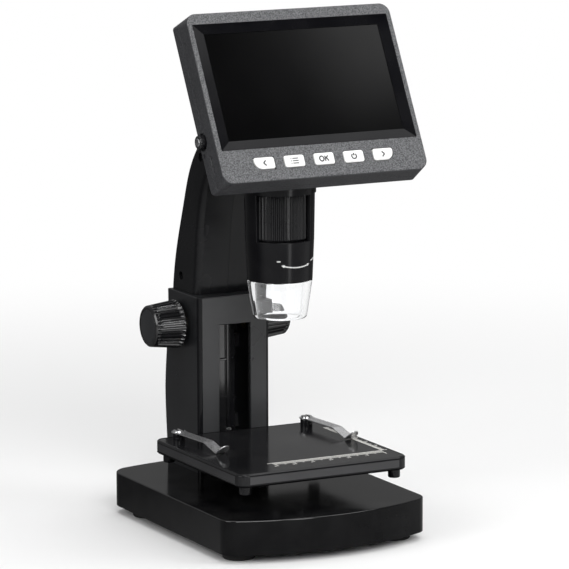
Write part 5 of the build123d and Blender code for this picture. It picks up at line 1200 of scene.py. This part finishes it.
frame_gloss = moulded_finish(
    "frame_gloss", (0.003, 0.003, 0.004), (0.006, 0.006, 0.007), 0.13, 2400, 40, 0.003, 0.2
)
FRAME_TURN = math.radians(8)
eased("lcd_frame", frame_gloss, turn=FRAME_TURN)
screen_glass = moulded_finish(
    "screen_glass", (0.0005, 0.0005, 0.0006), (0.001, 0.001, 0.0012), 0.13, 2600, 15, 0.0, 0.3
)
eased("lcd_panel", screen_glass, 0.05)
case_seats = on_screen((-48.0, 48.0), -44.5, -14.3) / MM
board_seats = on_screen((-38.0, -38.0, 38.0, 38.0), (-27.0, 25.0) * 2, -8.2) / MM
case_screws = screws(case_seats, -SCREEN_OUT, (1.85, 1.15, 1.0, 7.3))
board_screws = screws(board_seats, SCREEN_OUT, (1.85, 1.15, 1.0, 4.4))
dressed("monitor_screws", case_screws + board_screws, screw_black)

# Boards, battery and sockets inside the case, and the hinge behind it.
pouch = metal_finish(
    "battery_pouch", (0.45, 0.45, 0.46), (0.62, 0.62, 0.63), 0.4, scratch=60, bump=0.2
)
tinned = metal_finish("tinned_shell", (0.48, 0.48, 0.49), (0.66, 0.66, 0.67), 0.3)
eased("main_board", board_green, 0.08)
eased("key_board", board_green, 0.08)
eased("battery", pouch, 0.8, 4)
eased("card_socket", carrier_black, 0.08)
eased("usb_socket", tinned, 0.08)
eased("dimmer_pot", carrier_black, 0.1)
eased("hinge_bracket", tinned, 0.2)
eased("hinge_pin", shaft_steel, 0.1)

# The brightness dial: a small knurled wheel with a bright face in the left flank.
DIAL_PLACE = on_screen(-CASE_HALF, -23.0, -11.0) / MM
DIAL_PROFILE = (
    (0.0, -6.05), (1.48, -6.05), (1.48, -1.1), (3.2, -1.1), (3.38, -0.9), (3.38, 0.6),
    (3.38, 2.2), (3.2, 2.6), (2.9, 2.85), (2.5, 2.95), (2.3, 2.75), (0.0, 2.6),
)
DIAL_TEETH = 24
DIAL_RIM = 3.3
KNURL_DEEP = 0.09


def knurled(radius, height, turn):
    """Knurling: the rim's radius swings with the turn by a fine wave."""
    rim = radius > DIAL_RIM * MM
    return radius - np.where(rim, KNURL_DEEP * MM * (1 + np.cos(DIAL_TEETH * turn)), 0), height


dial = turned("dial", DIAL_PLACE, (-1, 0, 0), DIAL_PROFILE, DIAL_TEETH * 6, shape=knurled)
dial_black = moulded_finish("dial_black", (0.007, 0.007, 0.008), (0.012, 0.012, 0.013), 0.16)
dressed("dimmer_knob", [dial], dial_black)
DISC_PROFILE = (
    (0.0, 2.3), (2.0, 2.3), (2.0, 2.8), (1.9, 2.9), (1.7, 2.95), (1.0, 2.97), (0.0, 2.98),
)
dial_steel = metal_finish(
    "dial_steel", (0.70, 0.70, 0.71), (0.92, 0.92, 0.93), 0.22, scratch=300, bump=0.001
)
disc = joined("dial_disc", [turned("disc", DIAL_PLACE, (-1, 0, 0), DISC_PROFILE)], dial_steel)
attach(disc, BODY_OF["dimmer_knob"])

# ================================================================== keys
# Five white key caps with softly domed faces stand a little proud in their openings, each
# with a flange behind the case; their signs are printed in dark grey.
KEY_NAMES = ("key_left", "key_menu", "key_ok", "key_power", "key_right")
KEY_STEP = 16.1
KEY_UP = -40.1
KEY_HALF = (5.4, 3.0)
KEY_TOP = 1.5
FLANGE_HALF = (6.1, 3.7)
FLANGE_CORNER = 0.3
FLANGE_OUT = (-1.9, -1.1)
KEY_CORNER = 1.2
KEY_BIG_CORNER = 4.2
LEAST_CORNER = 0.05
CORNER_STEPS = 12
KEY_ROWS = (
    (0.0, -1.1), (0.0, 0.4), (0.0, 1.1), (0.05, 1.28), (0.16, 1.39), (0.34, 1.45), (0.7, 1.48),
)


def rounded_outline(half, radii, inset):
    """A rectangle drawn in by inset, with its own radius at each corner: lower left, lower
    right, upper right, upper left, each a quarter turn of points."""
    quarter = np.linspace(0, math.pi / 2, CORNER_STEPS)
    wide, high = half[0] - inset, half[1] - inset
    sides = ((-1, -1, math.pi), (1, -1, 1.5 * math.pi), (1, 1, 0.0), (-1, 1, 0.5 * math.pi))
    points = []
    for (x, y, start), radius in zip(sides, radii):
        radius = max(radius - inset, LEAST_CORNER)
        across = x * (wide - radius) + radius * np.cos(start + quarter)
        up = y * (high - radius) + radius * np.sin(start + quarter)
        points.append(np.stack([across, up], axis=1))
    return np.concatenate(points)


def key_cap(number):
    """Key cap as rows of outlines: flange, flank, rounded edge and a dome to its middle. The
    two outer keys have a large corner below, where the case is round."""
    radii = [KEY_CORNER] * 4
    if number == 0:
        radii[0] = KEY_BIG_CORNER
    if number == len(KEY_NAMES) - 1:
        radii[1] = KEY_BIG_CORNER
    flange = rounded_outline(FLANGE_HALF, [FLANGE_CORNER] * 4, 0)
    rows = [(flange * 0, FLANGE_OUT[0])] + [(flange, out) for out in FLANGE_OUT]
    rows += [(rounded_outline(KEY_HALF, radii, inset), out) for inset, out in KEY_ROWS]
    inner = rows[-1][0]
    rows += [(inner * share, KEY_TOP) for share in (0.6, 0.3, 0.0)]
    middle = (number - 2) * KEY_STEP
    points = np.stack(
        [on_screen(middle + outline[:, 0], KEY_UP + outline[:, 1], out) for outline, out in rows]
    )
    return grid_mesh("cap", points, around=True)


key_white = moulded_finish(
    "key_white", (0.78, 0.78, 0.77), (0.84, 0.84, 0.83), 0.38, 1800, 60, 0.004
)
for number, node in enumerate(KEY_NAMES):
    dressed(node, [key_cap(number)], key_white)

# The signs' lines lie from a little under the key's face to a little over it.
SIGN_LINE = 0.62
MENU_LINE = 0.42
SIGN_LOW = -0.08
SIGN_HIGH = 0.07


def on_key(number):
    """The placing of a sign on one key's face."""

    def place(across, up, proud):
        """A point from its place across and up the key's face, and how far it stands proud."""
        return on_screen((number - 2) * KEY_STEP + across, KEY_UP + up, KEY_TOP + proud)

    return place


def bow(radius, low, high, steps=25, squash=1.0):
    """Points of a round line between two turns, in degrees."""
    turn = np.radians(np.linspace(low, high, steps))
    return np.stack([radius * np.cos(turn) * squash, radius * np.sin(turn)], axis=1)


def straight(start, end, steps=3):
    """Points of a straight line."""
    way = np.linspace(0, 1, steps)[:, None]
    return np.array(start) * (1 - way) + np.array(end) * way


MENU_UPS = (1.2, 0, -1.2)
signs = {
    "key_left": [straight((0.7, 1.3), (-0.6, 0)), straight((0.7, -1.3), (-0.6, 0))],
    "key_menu": [straight((-1.0, up), (2.0, up)) for up in MENU_UPS]
    + [straight((-2.0, up), (-1.6, up)) for up in MENU_UPS],
    "key_ok": [
        bow(1.25, 0, 360, squash=0.9) + np.array([[-1.5, 0]]),
        straight((0.4, 1.3), (0.4, -1.3)),
        straight((2.0, 1.3), (0.5, -0.1)),
        straight((1.0, 0.35), (2.1, -1.3)),
    ],
    "key_power": [bow(1.25, 125, 415), straight((0, 1.6), (0, 0.3))],
    "key_right": [straight((-0.7, 1.3), (0.6, 0)), straight((-0.7, -1.3), (0.6, 0))],
}
sign_ink = moulded_finish(
    "sign_ink", (0.016, 0.016, 0.018), (0.030, 0.030, 0.032), 0.5, 1500, 200, 0.002
)
for number, node in enumerate(KEY_NAMES):
    width = MENU_LINE if node == "key_menu" else SIGN_LINE
    on_face = on_key(number)
    lines = [stroke("line", path, width, on_face, SIGN_LOW, SIGN_HIGH) for path in signs[node]]
    sign = joined(node + "_sign", lines, sign_ink)
    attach(sign, BODY_OF[node])
